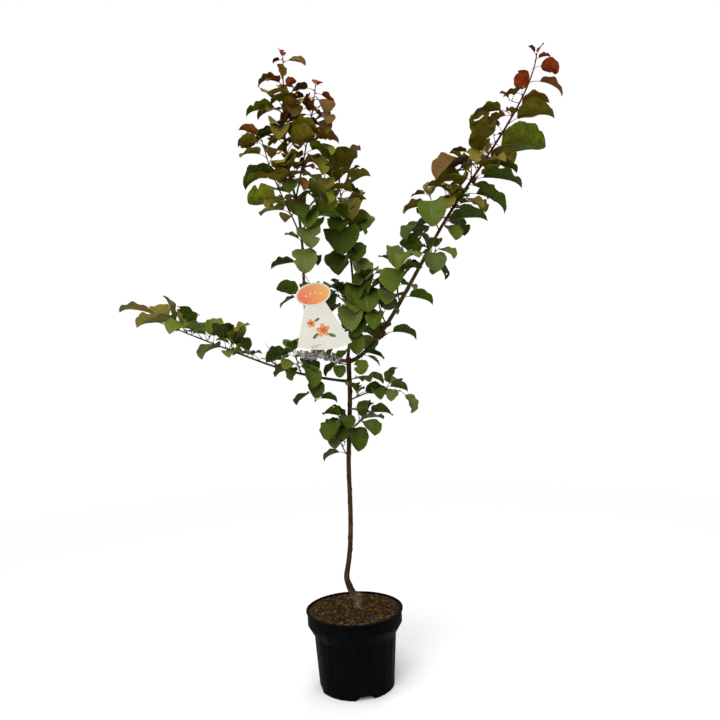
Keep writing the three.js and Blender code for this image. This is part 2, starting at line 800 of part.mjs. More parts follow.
function potSolid() {
  const p = POT;
  const inner = (radius) => radius - p.wall;
  const body = solidOf(lathe([
    [0, 0],
    [p.channelInner, 0],
    [p.channelInner + p.channelSlope, p.channelHeight],
    [p.channelOuter - p.channelSlope, p.channelHeight],
    [p.channelOuter, 0],
    [p.footRadius, 0],
    [p.shoulderRadius, p.shoulderHeight],
    [p.collarRadius, p.collarFoot],
    [p.collarRadius, p.rimHeight - p.lip],
    [p.rimRadius, p.rimHeight - p.lip + 0.5],
    [p.rimRadius, p.rimHeight],
    [inner(p.collarRadius), p.rimHeight],
    [inner(p.collarRadius), p.collarFoot],
    [inner(p.shoulderRadius), p.shoulderHeight],
    [inner(p.footRadius), p.channelHeight + p.floor],
    [p.channelInner, p.channelHeight + p.floor],
    [p.channelInner - p.channelSlope, p.floor],
    [0, p.floor],
  ]));
  const below = 1;
  const spread = (NOTCH.foot - NOTCH.top) / 2 / NOTCH.height;
  const shape = new THREE.Shape([
    new THREE.Vector2(-NOTCH.foot / 2 - spread * below, -below),
    new THREE.Vector2(NOTCH.foot / 2 + spread * below, -below),
    new THREE.Vector2(NOTCH.top / 2, NOTCH.height),
    new THREE.Vector2(-NOTCH.top / 2, NOTCH.height),
  ]);
  let pot = body;
  for (let i = 0; i < NOTCH.count; i++) {
    const cutter = new THREE.ExtrudeGeometry(shape, { depth: NOTCH.depth, bevelEnabled: false })
      .rotateX(Math.PI / 2)
      .translate(0, -POT.footRadius + NOTCH.depth / 2 + 2, 0)
      .rotateZ(NOTCH.turn * DEGREE + (i * Math.PI * 2) / NOTCH.count);
    pot = pot.subtract(solidOf(cutter));
  }
  return pot;
}

function soilSolid() {
  const p = POT;
  const inner = (radius) => radius - p.wall - GAP;
  return solidOf(lathe([
    [0, p.channelHeight + p.floor + GAP],
    [inner(p.footRadius), p.channelHeight + p.floor + GAP],
    [inner(p.shoulderRadius), p.shoulderHeight],
    [inner(p.collarRadius), p.collarFoot],
    [inner(p.collarRadius), SOIL.height - SOIL.edgeDrop],
    [SOIL.flatRadius, SOIL.height],
    [0, SOIL.height],
  ]));
}

function trunkStations() {
  return stations(TRUNK.map(vector), TRUNK.map((row) => row[3]));
}

function trunkSolid(extra) {
  const foot = vector(STUB.from);
  const top = vector(STUB.to);
  const upright = foot.clone().addScaledVector(UP, 3);
  const radii = [STUB.radius[0], STUB.radius[0], STUB.radius[1]];
  const stub = limb(stations([foot, upright, top], radii), TRUNK_FACETS, extra);
  return limb(trunkStations(), TRUNK_FACETS, extra).add(stub);
}

// The tag is one plate: an oval header over a fan, hung from a ring round the bough by a strap.
function tagSolid(bough) {
  const [wide, tall] = TAG.headerRadius;
  const half = TAG.fanHalfAngle * DEGREE;
  const fan = new THREE.Shape();
  fan.moveTo(-TAG.fanTop, 0);
  for (let i = 0; i <= TAG.fanSteps; i++) {
    const turn = (2 * i) / TAG.fanSteps - 1;
    const reach = FAN_RADIUS * (1 + TAG.fanSkew * turn);
    fan.lineTo(reach * Math.sin(turn * half), FAN_APEX - reach * Math.cos(turn * half));
  }
  fan.lineTo(TAG.fanTop, 0);
  const header = new THREE.Shape();
  header.absellipse(0, 0, wide, tall, 0, Math.PI * 2);
  const options = { depth: TAG.thickness, bevelEnabled: false, curveSegments: 10 };
  const plate = (shape, lift) => solidOf(
    new THREE.ExtrudeGeometry(shape, options)
      .translate(0, lift, -TAG.thickness / 2)
      .rotateX(Math.PI / 2)
      .rotateY(-TAG.tilt * DEGREE)
      .translate(...TAG.centre),
  );
  return plate(header, tall).add(plate(fan, TAG.fanSink)).add(strapSolid(bough));
}

function strapSolid(bough) {
  const height = TAG.strapHeight;
  const ring = bough.rings.reduce((a, b) =>
    Math.abs(b.point.z - height) < Math.abs(a.point.z - height) ? b : a);
  const radius = ring.radius + GAP + TAG.strapSlack + TAG.strapWire;
  const across = ring.front.clone().negate();
  const loop = new THREE.TorusGeometry(radius, TAG.strapWire, 5, 14)
    .applyMatrix4(new THREE.Matrix4().makeBasis(ring.side, across, ring.tangent))
    .translate(...ring.point.toArray());
  const turn = TAG.tilt * DEGREE;
  const eye = vector(TAG.centre)
    .add(new THREE.Vector3(-Math.sin(turn), 0, Math.cos(turn)).multiplyScalar(TAG.eyeHeight));
  const outward = eye.clone().sub(ring.point);
  outward.addScaledVector(ring.tangent, -outward.dot(ring.tangent)).normalize();
  const hook = ring.point.clone().addScaledVector(outward, radius);
  return solidOf(loop).add(limb(stations([hook, eye], [TAG.strapWire, TAG.strapWire]), 5));
}

// A limb or mass with the clearance of every limb that it stands on cut from it.
function clearOf(clearances, solid) {
  return clearances.reduce((rest, clearance) => rest.subtract(clearance), solid);
}

function build() {
  const trunk = { name: "trunk", rings: trunkStations() };
  const boughs = [];
  for (const [name, plan] of Object.entries(BOUGHS)) {
    const rings = curveStations(guidesOf(plan, boughs), plan.radius, BOUGH.steps);
    boughs.push({ name, plan, rings });
  }
  const masses = Object.entries(MASSES);
  const shoots = masses.flatMap(([name, mass]) => shootsOf(name, mass, boughs));
  const leaves = growLeaves(shoots, [trunk, ...boughs, ...shoots]);

  const group = new THREE.Group();
  group.name = "potted_apricot_tree";
  group.add(part("pot", potSolid(), "pot"));
  group.add(part("soil", soilSolid(), "soil"));
  group.add(part("trunk", trunkSolid(0), "trunk"));
  const clearances = [trunkSolid(GAP)];
  for (const { name, plan, rings } of boughs) {
    const solid = limb(rings, BOUGH.facets);
    group.add(part(name, plan.follows ? solid : clearOf(clearances, solid), "bough"));
    clearances.push(limb(rings, BOUGH.facets, GAP));
  }
  for (const [name, mass] of masses) {
    const limbs = shoots.filter((shoot) => shoot.mass === name);
    const pieces = limbs.map((shoot) => limb(shoot.rings, shoot.facets));
    for (const leaf of leaves) if (leaf.shoot.mass === name) pieces.push(...leafSolids(leaf));
    const solid = pieces.reduce((whole, piece) => whole.add(piece));
    const look = BRONZE_MASSES.includes(name) ? "bronze" : "green";
    group.add(part(name, mass.follows ? solid : clearOf(clearances, solid), look));
  }
  const carrier = boughs.find((bough) => bough.name === "bough_upper_left");
  group.add(part("hang_tag", tagSolid(carrier), "tag"));
  return group;
}

export default build();
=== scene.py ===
"""Looks of a young apricot tree in a black nursery pot, with a hang tag on one bough.

The plant is worked out in millimetres by the rule that its solids grow by, and each piece is
scaled to metres as it is finished. The tag and the front of the pot face -Y.
"""

import math
import random

import bmesh
import bpy
import numpy as np
from mathutils import Matrix, Vector, noise


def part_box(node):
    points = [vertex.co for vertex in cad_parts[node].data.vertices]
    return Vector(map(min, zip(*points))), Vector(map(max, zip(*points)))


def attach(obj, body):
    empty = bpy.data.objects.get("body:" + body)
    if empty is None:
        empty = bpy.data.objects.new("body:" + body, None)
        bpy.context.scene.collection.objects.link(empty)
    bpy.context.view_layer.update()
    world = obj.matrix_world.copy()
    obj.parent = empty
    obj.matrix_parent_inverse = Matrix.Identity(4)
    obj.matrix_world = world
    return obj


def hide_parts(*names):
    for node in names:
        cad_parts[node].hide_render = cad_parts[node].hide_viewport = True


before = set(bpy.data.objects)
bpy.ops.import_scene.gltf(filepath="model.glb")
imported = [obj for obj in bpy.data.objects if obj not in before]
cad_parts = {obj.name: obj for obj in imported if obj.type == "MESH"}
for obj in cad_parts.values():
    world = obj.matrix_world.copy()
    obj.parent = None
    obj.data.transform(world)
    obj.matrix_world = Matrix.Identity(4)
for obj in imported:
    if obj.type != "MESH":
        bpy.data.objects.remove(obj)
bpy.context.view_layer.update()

MM = 0.001
# Clearance between two solids that touch on the real plant.
GAP = 0.3
GOLDEN_ANGLE = 137.5
# The seeded draws: what a seed is multiplied by, the factor of each step and the prime they go round.
SEED_SPREAD = 7919
DRAW_FACTOR = 16807
DRAW_PRIME = 2147483647
UP = np.array((0.0, 0.0, 1.0))
SIDEWAYS = np.array((0.0, 1.0, 0.0))
# A limb that runs along Y by more than this share takes its cross directions from Z.
MOST_SIDEWAYS = 0.8
# The last place along a limb, so that one ring always lies beyond it.
LAST_PLACE = 0.999
# Distance under which two corners of a mesh become one.
SAME_POINT = 1e-3
# How many times finer each octave of noise is than the one before.
FINER = 2.0

# Radii and heights of the pot. Its edges sharper than so many degrees are rounded by a little.
POT = {
    "rim_radius": 121.5,
    "rim_height": 190,
    "lip": 3,
    "collar_radius": 118.5,
    "collar_foot": 158,
    "shoulder_radius": 102.5,
    "shoulder_height": 131,
    "foot_radius": 93.5,
    "wall": 2.6,
    "rim_slope": 0.5,
    "floor": 3,
    "channel_inner": 55,
    "channel_outer": 88,
    "channel_slope": 3,
    "channel_height": 10,
    "facets": 128,
    "sharp": 24,
    "rounding": 0.55,
}
NOTCH = {"count": 4, "turn": 12.7, "foot": 47, "top": 27, "height": 9.5, "depth": 18}
# The part of the pot that a notch is cut from: how far out it starts and how high it ends.
NOTCH_FACES = {"out": 80, "below": 40}
SOIL_HEIGHT = 182
# The finer soil: faces along its grid, its gap to the wall, and how far it stands over the solid at
# its middle and by how much more at the pot's edge.
SOIL = {"grid": 120, "gap": 0.4, "rise": 2.2, "heap": 2.5}
# Size and height of the soil's bumps, and the fade and number of their octaves.
SOIL_LUMPS = {"layer": 0, "size": 26, "fade": 0.9, "octaves": 5, "height": 1.6}
SOIL_CRUMBS = {"layer": 40, "size": 5, "fade": 0.8, "octaves": 3, "height": 0.7}
# Shreds on the soil, in millimetres: how far they keep from the wall, the place and radius of the
# bare spot round the trunk, and their sizes. tilt and roll are in radians.
CHIPS = {
    "seed": 3,
    "margin": 7,
    "bare": [12, 22, 15],
    "length": [4, 13],
    "width": [1.2, 3.2],
    "height": [0.6, 1.4],
    "tilt": 0.35,
    "roll": 0.5,
    "lift": [0.1, 0.9],
}
# Finish and number of each kind of shred.
CHIP_KINDS = {
    "chips_tan": ("tan_wood", 130),
    "chips_brown": ("brown_wood", 620),
    "chips_dark": ("dark_bark", 700),
}

# Stations up the trunk from the soil to the fork: x, y, z and radius.
TRUNK = [
    [9, 23, SOIL_HEIGHT + GAP, 14],
    [9, 23, 188, 11.8],
    [6, 24, 200, 10.4],
    [-2, 24, 217, 9.2],
    [-11, 23, 236, 8.2],
    [-17, 22, 258, 7.2],
    [-15, 21, 278, 6.7],
    [-10, 20, 304, 6.3],
    [-4, 18, 356, 6.1],
    [-1, 14, 445, 5.8],
    [-1, 10, 548, 5.7],
    [5, 7, 649, 5.6],
    [9, 5, 725, 5.7],
    [9, 3, 788, 6.0],
    [9, 2, 820, 6.4],
]
# The old rootstock was cut off just above the graft, beside the trunk. Its side has a slight wave,
# and its cut edge is drawn in to a share of its radius.
STUB = {
    "from": [9.5, 22, SOIL_HEIGHT + GAP],
    "to": [11, 22, 217],
    "radius": [12, 9.6],
    "steps": 12,
    "wave": 0.05,
    "bends": 5,
    "edge": 0.86,
}

# Each bough is one curve with four guide points. One that follows another starts at its tip in
# its direction, so it has only the last two points.
BOUGHS = {
    "bough_left": {
        "curve": [[5, 5, 760], [-55, -5, 768], [-130, -20, 785], [-199, -34, 814]],
        "radius": [3.7, 2.5],
    },
    "bough_right": {
        "curve": [[9, 2, 809], [80, 3, 826], [150, 20, 965], [248, 38, 1127]],
        "radius": [4.8, 3.2],
    },
    "bough_upper_left_foot": {
        "curve": [[9, 2, 811], [-45, -8, 814], [-80, -14, 838], [-87, -20, 880]],
        "radius": [4.4, 3.8],
    },
    "bough_upper_left": {
        "curve": [[-76, -48, 1090], [-110, -62, 1241]],
        "radius": [3.8, 2.9],
        "follows": "bough_upper_left_foot",
    },
    "bough_center": {
        "curve": [[7, 5, 815], [15, 14, 880], [34, 50, 980], [24, 80, 1071]],
        "radius": [3.9, 2.7],
    },
}
# Share of its length over which a limb keeps the direction of the one that it follows.
LEAD = 0.3
BOUGH_STEPS = 9

# A mass grows from one stem, which carries on from the tip of the bough that it follows or stands
# on the side of a limb. leaves gives those that shape the crown's outline, as share along the
# stem, bearing, rise, length, roll and tint; a bearing of 0 is +X and 90 is +Y. Roll and tint may
# be left out. more is how many further leaves the seeded rule adds between the two shares in
# nodes, blade their length at the stem's foot and tip, forward how far they lean along the stem
# there, lift how far upwards, and tints what colours lie along it. twigs stand on the stem at a
# share, bearing, rise and length. fill gives leaves that only the visual model has.
# Leaves tinted umber carry painted shade: brown darkened where they face the lights.
MASSES = {
    "foliage_right_top": {
        "curve": [[513, 78, 1465], [537, 88, 1606]],
        "follows": "bough_right",
        "radius": [3.2, 0.9],
        "seed": 11,
        "more": 22,
        "nodes": [0.02, 0.52],
        "blade": [84, 50],
        "tints": [
            "deep", "green", "olive", "olive", "olive", "olive", "bronze", "bronze", "brown", "red",
            "crimson",
        ],
        "leaves": [
            [1, 172, 50, 24, 0, "crimson"], [1, 8, 54, 28, 0, "crimson"],
            [0.95, -8, 0, 32, -30, "crimson"], [0.9, -20, -24, 52, 40, "red"],
            [0.82, -8, -36, 74, -8, "brown"], [0.74, -70, 58, 50, 0, "red"],
            [0.75, 186, -14, 40, 0, "brown"], [0.65, -16, 0, 74, 10, "bronze"],
            [0.57, -16, -4, 98, 12, "olive"], [0.64, 182, -12, 84, 0, "olive"],
            [0.55, 178, 26, 46, 15, "olive"], [0.42, -14, -5, 116, 26, "fresh"],
            [0.5, 200, -60, 32, 0, "brown"], [0.36, 190, -25, 104, 12, "umber"],
            [0.275, -8, -16, 106, 0, "green"], [0.217, -10, -36, 96, 14, "green"],
            [0.42, -160, -30, 76, 0, "olive"], [0.03, -15, -4, 94, 10], [0.05, -60, -50, 56, 0, "green"],
            [0.14, -25, 10, 50], [0.22, -110, -40, 60, 0, "green"],
        ],
        "twigs": [
            {
                "place": [0.02, 200, 76, 92],
                "seed": 12,
                "more": 5,
                "blade": [76, 50],
                "leaves": [
                    [1, 184, -10, 38, 0, "olive"], [0.6, 190, -16, 62, 0, "olive"],
                    [0.2, -150, -34, 84, 0, "deep"], [0.9, -95, -58, 84, 0, "green"],
                ],
            },
            {
                "place": [0.3, 60, 80, 68],
                "seed": 13,
                "more": 3,
                "blade": [60, 44],
                "leaves": [[1, 184, 0, 46], [0.8, 200, -35, 50], [1, 20, 50, 40]],
            },
            {
                "place": [0.14, 205, 70, 56],
                "seed": 14,
                "more": 3,
                "blade": [70, 56],
                "leaves": [[1, 200, -12, 44], [0.5, -100, -40, 50]],
            },
        ],
    },
    "foliage_upper_left": {
        "curve": [[-122, -76, 1450], [-119, -82, 1546]],
        "follows": "bough_upper_left",
        "radius": [2.9, 0.8],
        "seed": 21,
        "more": 20,
        "nodes": [0.04, 0.62],
        "blade": [80, 50],
        "tints": [
            "green", "olive", "olive", "olive", "olive", "bronze", "bronze", "brown", "brown", "brown",
            "crimson",
        ],
        "leaves": [
            [1, 130, 62, 24], [0.97, 190, -30, 20], [0.95, -5, -20, 42, -35, "umber"],
            [0.83, 186, -30, 50, 5, "bronze"], [0.8, -40, 50, 32, 20, "bronze"], [0.74, -100, -20, 26],
            [0.72, 190, -20, 26], [0.68, 178, -40, 28], [0.76, -10, -20, 22],
            [0.57, 183, 0, 76, 5, "olive"], [0.6, 225, -30, 52], [0.4, 180, -20, 56, 10, "olive"],
            [0.56, 190, -18, 44, 10, "olive"], [0.1, 186, -24, 90, -10, "green"],
            [0.06, -40, -50, 44, 0, "brown"], [0.5, -50, 10, 60, 0, "bronze"],
        ],
        "fill": [
            [0.56, 178, -14, 70, 0, "fresh"], [0.62, -50, -45, 60, 0, "umber"],
            [0.45, -70, -45, 60, 0, "olive"], [0.42, 200, -30, 56, 0, "green"],
        ],
    },
    "foliage_second_leader": {
        "curve": [[-107, -58, 1192], [-93, -50, 1262], [-58, -36, 1400], [-46, -22, 1502]],
        "radius": [2.4, 0.8],
        "seed": 31,
        "more": 18,
        "nodes": [0.04, 0.75],
        "blade": [80, 56],
        "tints": [
            "green", "olive", "green", "olive", "olive", "bronze", "bronze", "brown", "bronze", "brown",
            "red",
        ],
        "leaves": [
            [1, 60, 60, 18], [0.97, -20, 10, 18], [0.88, 190, -30, 62, 10, "umber"],
            [0.92, -10, -52, 46, 0, "red"], [0.74, -58, -38, 68, 15, "umber"],
            [0.8, -140, -40, 72, 0, "bronze"], [0.66, -42, -36, 64, 0, "umber"],
            [0.45, -35, -20, 66, 0, "fresh"], [0.55, -70, -50, 70, 0, "olive"],
            [0.4, -50, -42, 70, 0, "olive"], [0.33, -40, -15, 32, -20, "red"], [0.3, -20, 30, 62],
            [0.2, -45, -42, 80, 0, "fresh"], [0.86, -105, -50, 60, 0, "umber"],
        ],
        "fill": [
            [0.25, -110, -45, 56, 0, "green"], [0.6, -110, -45, 58, 0, "olive"],
            [0.7, 180, -30, 50, 0, "bronze"], [0.86, -150, -40, 62, 0, "umber"],
            [0.94, -160, -20, 48, 0, "umber"],
        ],
    },
    "foliage_upper_left_side": {
        "curve": [[-93, -52, 1112], [-115, -62, 1180], [-155, -85, 1240], [-174, -104, 1341]],
        "radius": [2.1, 0.8],
        "seed": 41,
        "more": 8,
        "nodes": [0.2, 0.85],
        "blade": [70, 48],
        "tints": ["green", "olive", "olive", "olive", "olive", "bronze", "bronze"],
        "leaves": [
            [1, 176, 12, 47, 0, "brown"], [0.99, 186, -22, 46, 0, "olive"],
            [0.95, 188, -15, 50, -35, "olive"], [0.9, 10, 25, 44, 0, "olive"],
            [0.85, 215, -14, 54, 0, "olive"], [0.8, -60, 0, 44], [0.42, 178, -6, 72, -45, "fresh"],
            [0.28, 183, -2, 68, 25, "fresh"],
        ],
    },
    "foliage_upper_left_inner": {
        "curve": [[-92, -52, 1134], [-62, -42, 1170], [-40, -25, 1230], [-26, -15, 1302]],
        "radius": [2.1, 0.8],
        "seed": 51,
        "more": 8,
        "blade": [84, 60],
        "tints": ["green", "green", "green", "olive", "olive", "green"],
        "leaves": [
            [0.03, -70, -50, 70, 0, "grey"], [0.2, -30, -15, 76, 25, "green"],
            [0.4, -60, -35, 70, 0, "deep"], [0.5, 30, 40, 58, 0, "green"],
            [0.8, -110, -40, 56, 0, "olive"],
        ],
        "fill": [
            [0.1, -120, -50, 56, 0, "green"], [0.35, -100, -50, 60, 0, "green"],
            [0.6, -60, -50, 56, 0, "olive"],
        ],
    },
    "foliage_tag_top": {
        "curve": [[-89, -47, 1088], [-91, -58, 1096], [-92, -68, 1102], [-93, -78, 1104]],
        "radius": [1.8, 1.0],
        "seed": 56,
        "more": 0,
        "blade": [60, 50],
        "tints": ["green", "green", "grey"],
        "leaves": [[0.3, -80, -66, 68, 0, "grey"], [0.5, 165, 20, 38, 0, "green"]],
    },
    "foliage_tag_side": {
        "curve": [[-90, -40, 1046], [-94, -34, 1050], [-99, -28, 1054], [-104, -22, 1057]],
        "radius": [1.8, 1.0],
        "seed": 61,
        "more": 0,
        "blade": [70, 60],
        "tints": ["deep", "green"],
        "leaves": [[0.15, 183, -12, 62], [0.5, 60, -4, 56]],
    },
    "foliage_tag_behind": {
        "curve": [[-87, -33, 962], [-92, -26, 967], [-98, -18, 971], [-104, -12, 974]],
        "radius": [1.8, 1.0],
        "seed": 66,
        "more": 0,
        "blade": [70, 60],
        "tints": ["deep", "green"],
        "leaves": [[0.9, 200, -34, 46], [0.5, 182, 12, 56, -40], [0.7, 60, 20, 56]],
    },
    "foliage_center_top": {
        "curve": [[2, 118, 1250], [-6, 128, 1355]],
        "follows": "bough_center",
        "radius": [2.7, 0.8],
        "seed": 71,
        "more": 14,
        "nodes": [0.28, 0.9],
        "blade": [86, 66],
        "tints": ["deep", "deep", "green", "deep", "green", "olive", "olive", "bronze", "brown"],
        "leaves": [
            [0.9, -10, 30, 30, -40, "brown"], [0.68, -40, -20, 58, 20, "green"],
            [0.72, -110, -45, 66, 0, "olive"], [0.62, -70, -50, 76, 0, "olive"],
            [0.22, 30, 40, 80, -50, "green"], [0.36, -95, -50, 104, 0, "deep"],
            [0.07, -125, -45, 80, 0, "deep"], [0.06, -72, -58, 74, 0, "grey"],
            [0.15, 30, 40, 46, -45, "deep"], [0.6, 188, 10, 84, 0, "olive"],
            [0.5, -20, 20, 56, 0, "olive"], [0.97, 100, 40, 38, 0, "brown"],
        ],
        "fill": [
            [0.2, -75, -48, 74, 0, "deep"], [0.15, -128, -50, 60, 0, "deep"],
            [0.05, -100, -45, 72, 0, "deep"], [0.3, 20, 30, 56, -40, "deep"],
            [0.45, -120, -45, 66, 0, "green"], [0.4, -30, -40, 54, 0, "green"],
            [0.04, -88, -62, 80, 0, "deep"],
        ],
    },
    "foliage_center_left": {
        "curve": [[23, 36, 938], [10, 30, 956], [-4, 22, 972], [-22, 14, 986]],
        "radius": [2.0, 1.0],
        "seed": 81,
        "more": 8,
        "blade": [84, 70],
        "tints": ["deep", "deep", "green"],
        "leaves": [
            [1, -100, -60, 42, 0, "deep"], [0.5, -112, -35, 64, 0, "green"],
            [0.12, -80, -60, 76, 0, "deep"], [0.05, 70, 58, 70, 0, "green"],
        ],
        "fill": [
            [0.8, -60, -50, 50, 0, "deep"], [0.3, -150, -40, 50, 0, "green"],
            [0.98, 10, 30, 62, -50, "green"],
        ],
    },
    "foliage_center_right": {
        "curve": [[24, 40, 950], [36, 37, 966], [46, 32, 984], [52, 28, 1006]],
        "radius": [2.0, 1.0],
        "seed": 91,
        "more": 9,
        "blade": [72, 60],
        "tints": ["deep", "green", "green"],
        "leaves": [
            [0.35, 30, 58, 64, -45, "green"], [0.85, -80, -50, 80, 0, "deep"],
            [0.1, -50, -50, 84, 0, "grey"],
        ],
        "fill": [
            [1, -110, -50, 66, 0, "deep"], [0.6, 0, -40, 50, 0, "green"],
            [0.8, 170, -30, 60, 0, "deep"],
        ],
    },
    "foliage_center_front": {
        "curve": [[17, 20, 888], [29, 6, 880], [38, -6, 874], [45, -18, 867]],
        "radius": [1.9, 1.0],
        "seed": 101,
        "more": 7,
        "blade": [76, 64],
        "tints": ["deep", "green", "grey"],
        "leaves": [[0.3, -50, -20, 60, 20, "green"], [0.1, -75, -66, 56, 0, "green"]],
    },
    "foliage_right_inner": {
        "curve": [[145, 16, 956], [134, 4, 986], [136, -8, 1026], [152, -16, 1060]],
        "radius": [2.1, 0.9],
        "seed": 111,
        "more": 7,
        "blade": [70, 56],
        "tints": ["green", "deep", "green", "deep", "green"],
        "leaves": [
            [1, -100, -30, 82, 0, "green"], [0.8, -105, -50, 80, 0, "green"],
            [0.5, -168, -30, 68, 0, "deep"], [0.7, 5, 28, 60, 0, "green"],
            [0.04, -10, -20, 66, 26, "green"],
        ],
    },
    "foliage_right_bough": {
        "curve": [[206, 28, 1057], [216, 14, 1060], [228, 2, 1068], [240, -8, 1080]],
        "radius": [1.9, 0.9],
        "seed": 251,
        "more": 4,
        "blade": [62, 50],
        "tints": ["green", "grey", "green"],
        "leaves": [
            [0.95, -98, -60, 60, 0, "grey"], [0.9, 60, 50, 36, 0, "green"],
            [0.35, -80, -55, 50, 0, "green"], [0.2, 200, 30, 60, -45, "green"],
        ],
    },
    "foliage_right_low": {
        "curve": [[108, 10, 901], [97, 0, 920], [90, -8, 944], [88, -14, 968]],
        "radius": [1.9, 1.0],
        "seed": 121,
        "more": 8,
        "blade": [76, 62],
        "tints": ["deep", "green", "grey"],
        "leaves": [
            [0.5, -112, -50, 56, 0, "deep"], [0.95, -130, -50, 52, 0, "grey"],
            [0.3, 30, 56, 50, -40, "grey"],
        ],
    },
    "foliage_right_outer": {
        "curve": [[89, 5, 868], [97, -1, 868], [105, -6, 872], [111, -10, 878]],
        "radius": [1.8, 0.9],
        "seed": 131,
        "more": 0,
        "blade": [70, 60],
        "tints": ["deep", "deep"],
        "leaves": [[0.4, -10, -18, 66, 10, "deep"]],
    },
    "foliage_left_tip": {
        "curve": [[-370, -64, 889], [-465, -70, 931]],
        "follows": "bough_left",
        "radius": [2.5, 0.8],
        "seed": 141,
        "more": 14,
        "blade": [70, 60],
        "lift": 0.4,
        "forward": [0.5, 0.9],
        "tints": ["deep", "green", "olive", "green", "olive", "olive"],
        "leaves": [
            [0.9, 178, 8, 84, -10], [0.76, 198, -6, 84], [0.57, 200, -4, 90], [0.86, 168, 38, 56, 20],
            [0.7, 115, 60, 54], [0.47, 84, 62, 54], [0.3, 76, 44, 60, 0, "grey"],
            [0.34, 215, -26, 64, 0, "grey"], [0.36, 172, 40, 60, 0, "grey"],
            [0.04, 186, 4, 60, 0, "grey"],
        ],
    },
    "foliage_left_inner": {
        "curve": [[-110, -16, 785], [-115, -20, 800], [-119, -24, 815], [-121, -27, 832]],
        "radius": [1.7, 1.0],
        "seed": 151,
        "more": 6,
        "blade": [62, 54],
        "tints": ["deep", "green", "green"],
        "leaves": [
            [0.8, 165, -14, 62, -50, "deep"], [0.6, -48, -60, 66, 0, "green"],
            [0.9, -50, -50, 60, 0, "deep"], [0.1, 195, -20, 54, -20, "grey"],
        ],
        "fill": [
            [0.45, -120, -60, 38, 0, "deep"], [0.3, -20, -30, 46, 0, "green"],
        ],
    },
    "foliage_left_hanging": {
        "curve": [[-79, -11, 776], [-77, -16, 757], [-77, -20, 736], [-78, -22, 712]],
        "radius": [1.7, 0.9],
        "seed": 161,
        "more": 1,
        "blade": [50, 44],
        "tints": ["deep", "deep"],
        "leaves": [[0.98, -10, -14, 44, 20, "deep"], [0.1, -80, -60, 48, 0, "deep"]],
    },
    "foliage_fork_right": {
        "curve": [[31, 3, 826], [36, -5, 824], [41, -12, 822], [45, -19, 821]],
        "radius": [1.6, 0.9],
        "seed": 171,
        "more": 1,
        "blade": [50, 44],
        "tints": ["deep", "green"],
        "leaves": [[0.3, -8, -20, 52, 10, "deep"], [0.9, -100, -72, 40, 0, "green"]],
    },
    "foliage_fork_left": {
        "curve": [[8, 3, 800], [-2, -3, 804], [-9, -9, 806], [-15, -14, 806]],
        "radius": [1.6, 0.9],
        "seed": 181,
        "more": 1,
        "blade": [46, 42],
        "tints": ["deep", "green"],
        "leaves": [[0.6, 195, -45, 42, -40, "deep"]],
        "fill": [
            [0.15, -110, -75, 38, 0, "deep"], [0.9, -90, -60, 36, 0, "deep"],
        ],
    },
    "foliage_trunk_upper": {
        "curve": [[10, 4, 764], [28, -4, 768], [44, -12, 770], [57, -20, 768]],
        "radius": [1.7, 0.9],
        "seed": 191,
        "more": 1,
        "blade": [40, 36],
        "tints": ["deep", "deep", "green"],
        "leaves": [
            [0.6, -10, -28, 44, -20, "deep"], [0.9, -10, -25, 32, -20, "deep"],
            [0.25, -60, -20, 30, 0, "deep"],
        ],
    },
    "foliage_low_right": {
        "curve": [[8, 5, 712], [44, -20, 728], [88, -46, 748], [132, -64, 733]],
        "radius": [2.0, 0.9],
        "seed": 201,
        "more": 4,
        "blade": [52, 44],
        "tints": ["deep", "green", "green", "grey", "grey"],
        "leaves": [
            [1, -45, -66, 50, 0, "grey"], [0.15, -20, -12, 70, 30, "deep"],
            [0.7, -12, -16, 46, 30, "grey"], [0.75, 30, 8, 44, -20, "grey"],
            [0.92, -40, -40, 36, 0, "grey"], [0.5, -70, -30, 42, 0, "deep"],
        ],
    },
    "foliage_low_cluster_right": {
        "curve": [[6, 7, 636], [22, -10, 650], [36, -22, 662], [48, -30, 672]],
        "radius": [1.9, 1.0],
        "seed": 211,
        "more": 6,
        "blade": [60, 52],
        "tints": ["green", "deep", "green"],
        "leaves": [[0.9, -30, -5, 60, 25, "deep"], [0.5, -60, -28, 64, 0, "deep"]],
        "fill": [
            [0.3, -100, -50, 46, 0, "deep"], [0.7, 60, 50, 44, 0, "deep"],
        ],
    },
    "foliage_low_cluster_left": {
        "curve": [[4, 8, 629], [-4, -4, 644], [-10, -14, 660], [-14, -22, 680]],
        "radius": [1.8, 0.9],
        "seed": 221,
        "more": 6,
        "blade": [58, 48],
        "tints": ["deep", "green", "grey"],
        "leaves": [
            [0.75, -125, -45, 62, 0, "deep"], [0.3, 100, 60, 50, 0, "deep"],
            [0.4, -130, -60, 52, 0, "grey"], [0.9, -100, -35, 48, 0, "deep"],
        ],
        "fill": [
            [0.6, -90, -50, 46, 0, "deep"], [0.15, 170, 10, 40, -40, "deep"],
        ],
    },
    "foliage_low_cluster_front": {
        "curve": [[5, 7, 650], [10, -6, 653], [14, -18, 654], [18, -30, 653]],
        "radius": [1.7, 1.0],
        "seed": 231,
        "more": 3,
        "blade": [62, 54],
        "tints": ["green", "green"],
        "leaves": [[0.5, -75, -58, 64, 0, "deep"]],
    },
    "foliage_low_left": {
        "curve": [[-1, 10, 566], [-8, 0, 582], [-15, -6, 597], [-21, -11, 613]],
        "radius": [1.6, 0.9],
        "seed": 241,
        "more": 1,
        "blade": [44, 40],
        "tints": ["deep", "green"],
        "leaves": [[0.25, 190, -26, 46], [0.98, 170, 20, 46]],
    },
}
STEM_STEPS = 7
# How many times as many rings a stem has here as in the solids, and rings along a bough.
STEM_FINER = 4
BOUGH_RINGS = 90
# How far in millimetres a limb that follows another starts inside it.
SUNK = 2
# A twig sags by bow times its length before it turns up to its tip.
TWIG = {"steps": 3, "radius": [1.5, 0.8], "bow": 0.12, "guides": [0.35, 0.7]}

